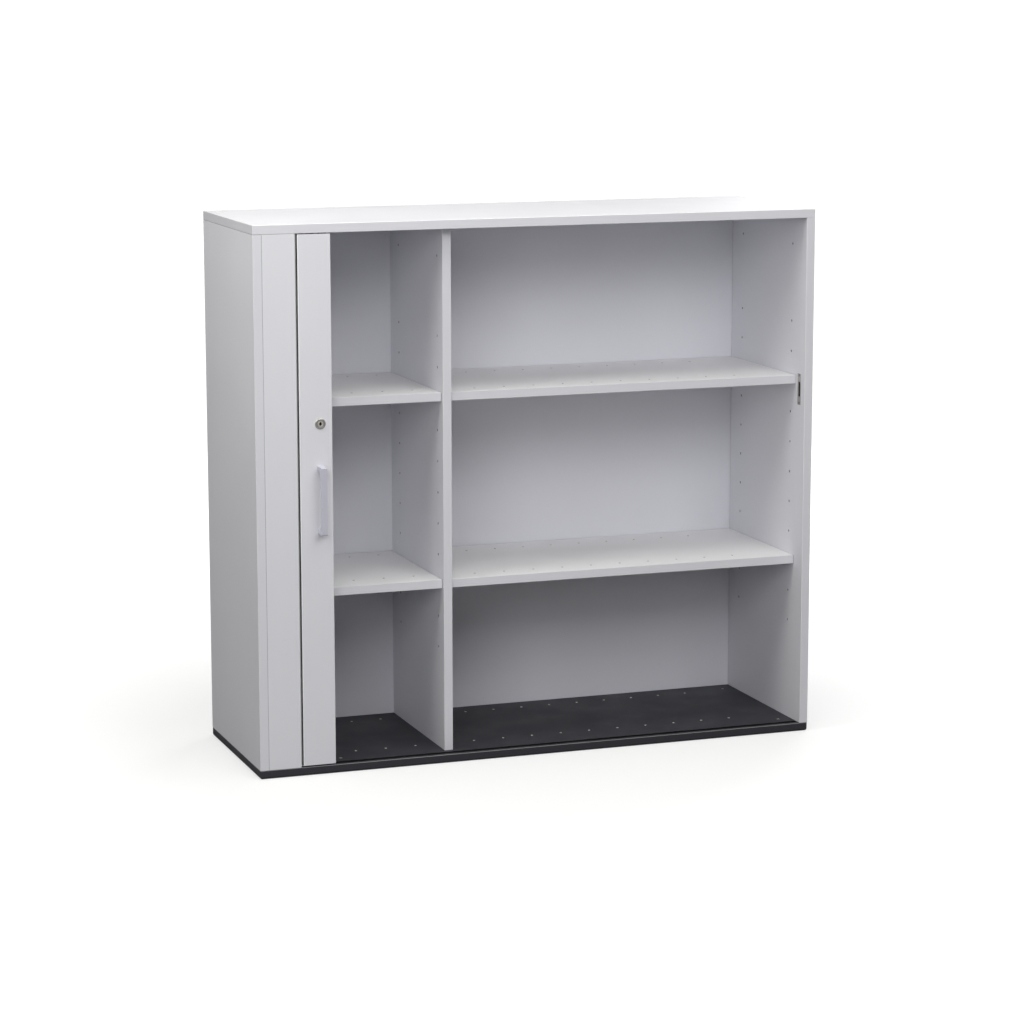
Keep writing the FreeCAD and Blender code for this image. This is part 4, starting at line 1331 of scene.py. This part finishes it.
low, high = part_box("strike_screws")
pair = {"Start": (low.x - HAIR, (low.y + high.y) / 2, low.z + WOOD_SHANK / 2), "Rows": 2,
        "Row Step": (0.0, 0.0, high.z - low.z - WOOD_SHANK), "Turn": (0.0, 0.0, math.pi / 2)}
master = flat_screw(WOOD_SHANK, STRIKE_HEAD, STRIKE_LENGTH)
stands_for(copies("cross_strike_screws", master, pair, skin="dark_zinc"), "strike_screws")

# %% [markdown]
# ## Threaded spindles
# Each corner has a foot that a spindle lowers, turned from inside the cabinet with a driver. Its thread
# could be swept along a spiral and joined to a core, which leaves faces inside the metal. Here it is a stack
# of rings whose radius rises and falls once per turn and pitch, so the ridge climbs as a helix in one closed
# mesh.

# %% Threaded spindles
THREAD_PITCH = 1.25 * MM
THREAD_DEPTH = 0.7 * MM
THREAD_SIDES = 28
THREAD_STEPS = 8
DRIVER_SLOT = Vector((6.0 * MM, 0.7 * MM, 2.8 * MM))


def threaded_rod(name, centre, radius, low, high):
    """A rod whose radius follows a helical ridge."""
    rows = math.ceil((high - low) / THREAD_PITCH * THREAD_STEPS)
    work = bmesh.new()
    rings = []
    for row in range(rows + 1):
        height = low + (high - low) * row / rows
        ring = []
        for side in range(THREAD_SIDES):
            turn = (height / THREAD_PITCH - side / THREAD_SIDES) % 1.0
            reach = radius - THREAD_DEPTH * abs(2 * turn - 1)
            angle = 2 * math.pi * side / THREAD_SIDES
            place = (centre.x + reach * math.cos(angle), centre.y + reach * math.sin(angle), height)
            ring.append(work.verts.new(place))
        rings.append(ring)
    skin_rings(work, rings)
    work.faces.new(rings[0][::-1])
    work.faces.new(rings[-1])
    bmesh.ops.recalc_face_normals(work, faces=work.faces)
    return made_piece(name, work, "zinc_steel")


def foot_axis(foot):
    """The line that a foot and its spindle share, at the floor."""
    low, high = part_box(f"{foot}_spindle")
    return Vector(((low.x + high.x) / 2, (low.y + high.y) / 2, 0))


def spindle(foot):
    low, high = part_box(f"{foot}_spindle")
    axis = foot_axis(foot)
    rod = threaded_rod(f"{foot}_screw", axis, (high.x - low.x) / 2, low.z, high.z)
    top = axis + Vector((0, 0, high.z))
    return smooth(cut(rod, block("driver_slot", top - DRIVER_SLOT, top + DRIVER_SLOT, "zinc_steel")))


print(f"thread of {THREAD_PITCH / MM:.2f} mm a turn")

# %% [markdown]
# ## Levelling feet
# Each spindle stands in a black pad and passes the floor board in a black sleeve. Stock cylinders would lack
# the pad's round rim and sloping shoulder, so pads and sleeves are turned. Spindle and pad move in different
# ways, so each rides on its own body, while the sleeves stay with the cabinet as one piece.

# %% Spindles, pads and sleeves
FEET = ("left_front", "left_rear", "right_front", "right_rear")
PAD_RADIUS, PAD_SIDES = 15.0 * MM, 56
PAD_SEAT = 3.2 * MM
PAD_RIM = ((-1.6, 0.0), (-0.4, 0.5), (0.0, 1.6), (-0.3, 2.6))
SHOULDER = 3.0 * MM
SHOULDER_DROP = 0.8 * MM
FOOT_BORE = 4.4 * MM
SLEEVE_RADIUS, SLEEVE_SIDES = 7.0 * MM, 40
SLEEVE_OUTER, SLEEVE_INNER = 0.4 * MM, 0.5 * MM


def pad(foot):
    low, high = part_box(f"{foot}_foot")
    rim = [(PAD_RADIUS + out, low.z + up) for out, up in in_mm(PAD_RIM)]
    outline = [(0, low.z), *rim, (PAD_RADIUS - SHOULDER, high.z - SHOULDER_DROP),
               (FOOT_BORE + SHOULDER, high.z), (FOOT_BORE, high.z), (FOOT_BORE, high.z - PAD_SEAT),
               (0, high.z - PAD_SEAT)]
    return turned(f"{foot}_pad", outline, foot_axis(foot), "black_foot", sides=PAD_SIDES)


def sleeves():
    low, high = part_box("foot_sleeves")
    outline = [(FOOT_BORE, low.z), (SLEEVE_RADIUS, low.z), (SLEEVE_RADIUS, high.z - SLEEVE_OUTER),
               (SLEEVE_RADIUS - SLEEVE_OUTER, high.z), (FOOT_BORE + SLEEVE_INNER, high.z),
               (FOOT_BORE, high.z - SLEEVE_INNER)]
    made = [turned("sleeve", outline, foot_axis(foot), "black_foot", sides=SLEEVE_SIDES, loop=True)
            for foot in FEET]
    return joined("round_foot_sleeves", made)


for foot in FEET:
    stands_for(spindle(foot), f"{foot}_spindle")
    stands_for(pad(foot), f"{foot}_foot")
stands_for(sleeves(), "foot_sleeves")

# %% [markdown]
# ## Drawn-out curtain
# When the door is shut, the slats run flat along the front from the facia to the leading board. A rigid copy
# of the wound curtain can't do that, and a flat sheet would show no slats. So the shut curtain is grown by a
# geometry tree: a rounded slat and a thin hinge web, repeated at the slats' pitch.

# %% Geometry tree: slatted curtain
SLAT_CORNER = 1.2 * MM
WEB_WIDTH, WEB_THICKNESS = 3.0 * MM, 2.0 * MM
WEB_CORNER = 0.2 * MM
CORNER_STEPS = 3


def both_of(tree, first, second):
    """Two geometries as one."""
    join = add(tree, "GeometryNodeJoinGeometry", {0: first})
    tree.links.new(second, join.inputs[0])
    return join.outputs[0]


def bar_geometry(tree, given, wide, thick, corner):
    """An upright bar with a rounded section, from a filled outline and its extrusion."""
    outline = add(tree, "GeometryNodeCurvePrimitiveQuadrilateral", {"Width": wide, "Height": thick})
    rounding = {"Curve": outline.outputs[0], "Radius": corner, "Count": CORNER_STEPS}
    rounded = add(tree, "GeometryNodeFilletCurve", rounding, mode="POLY")
    face = add(tree, "GeometryNodeFillCurve", {0: rounded.outputs[0]}, mode="NGONS").outputs[0]
    way = add(tree, "ShaderNodeCombineXYZ", {"Z": given["Height"]}).outputs[0]
    tall = add(tree, "GeometryNodeExtrudeMesh", {"Mesh": face, "Offset": way, "Individual": False})
    under = add(tree, "GeometryNodeFlipFaces", {"Mesh": face}).outputs[0]
    closed = {"Geometry": both_of(tree, tall.outputs["Mesh"], under), "Distance": MERGE}
    return add(tree, "GeometryNodeMergeByDistance", closed).outputs[0]


def slatted_curtain():
    inputs = LINE_INPUTS + [("Height", "Float"), ("Slat Width", "Float"), ("Slat Thickness", "Float")]
    tree, given, result = start_group("slatted curtain", "GeometryNodeTree", inputs, GEOMETRY)
    slat = bar_geometry(tree, given, given["Slat Width"], given["Slat Thickness"], SLAT_CORNER)
    web = bar_geometry(tree, given, WEB_WIDTH, WEB_THICKNESS, WEB_CORNER)
    halved = {0: given["Step"], 1: (0.5, 0.5, 0.5)}
    half = add(tree, "ShaderNodeVectorMath", halved, operation="MULTIPLY").outputs[0]
    moved = add(tree, "GeometryNodeTransform", {"Geometry": web, "Translation": half}).outputs[0]
    spots = {"Points": line_points(tree, given), "Instance": both_of(tree, slat, moved)}
    return end_tree(tree, given, result, spots)


SLATTED_CURTAIN = slatted_curtain()
print("slatted curtain:", len(SLATTED_CURTAIN.nodes), "nodes")

# %% [markdown]
# ## Shut curtain
# The tree is run once, for the door's full travel. The curtain then reaches from the lead slat, at its shut
# place, back to just behind the facia. Its size could be typed in, but the joint and the solids' boxes give
# it.

# %% Shut curtain
SLAT_PITCH = 25.0 * MM
SLAT_GAP = 0.6 * MM
HIDDEN_SHARE = 0.6
LEAD_GAP = 0.3 * MM


def shut_curtain(travel):
    """The curtain at its shut place, from the lead slat back to behind the facia."""
    low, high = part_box("curtain_lead_slat")
    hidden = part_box("facia_panel")[1].x - HIDDEN_SHARE * SLAT_PITCH
    right = low.x + travel - LEAD_GAP
    count = math.floor((right - hidden) / SLAT_PITCH)
    values = {"Start": (right - SLAT_PITCH / 2, (low.y + high.y) / 2, low.z), "Step": (-SLAT_PITCH, 0.0, 0.0),
              "Count": count, "Height": high.z - low.z, "Slat Width": SLAT_PITCH - SLAT_GAP,
              "Slat Thickness": high.y - low.y, "Finish": finishes["drawn_curtain"]}
    return grown("drawn_out_curtain", SLATTED_CURTAIN, values), low.x - LEAD_GAP


door_travel = joints["door_slide"]["range_m"][1]
curtain, gather_end = shut_curtain(door_travel)
curtain_low, curtain_high = corners_of(curtain)
print(f"shut curtain {curtain_high[0] - curtain_low[0]:.3f} m wide")

# %% [markdown]
# ## Curtain gathered behind the facia
# A blended piece would move with the cabinet at one end and with the door at the other, by a smooth share
# between two points. Run backwards, that share tells where each point of the shut curtain has to wait while
# the door is open: in a narrow stack behind the facia, out of sight. The finish reads the shut place from an
# attribute, so its pebble isn't squeezed.

# %% Gather the curtain behind the facia
GATHER_WIDTH = 29.0 * MM
HALVINGS = 60


def gather(curtain, start, end, travel):
    """Move each point from its shut place to where the blend between start and end takes it from."""
    shut = np.array([vertex.co for vertex in curtain.data.vertices])
    kept = curtain.data.attributes.new("closed_place", "FLOAT_VECTOR", "POINT")
    kept.data.foreach_set("vector", shut.astype(np.float32).ravel())
    low = np.full(len(shut), start)
    high = np.full(len(shut), end)
    for _ in range(HALVINGS):
        middle = (low + high) / 2
        share = (middle - start) / (end - start)
        short = middle + share * share * (3 - 2 * share) * travel < shut[:, 0]
        low, high = np.where(short, middle, low), np.where(short, high, middle)
    waiting = shut.copy()
    waiting[:, 0] = low
    curtain.data.vertices.foreach_set("co", waiting.astype(np.float32).ravel())
    curtain.data.update()


gather(curtain, gather_end - GATHER_WIDTH, gather_end, door_travel)
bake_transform(curtain)
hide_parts("curtain_corner_slats")
print(curtain.name, len(curtain.data.polygons), "faces")

# %% [markdown]
# ## Size
# The dressed cabinet has to keep the solids' size. The script ends by updating the scene.

# %% Update the scene
bpy.context.view_layer.update()
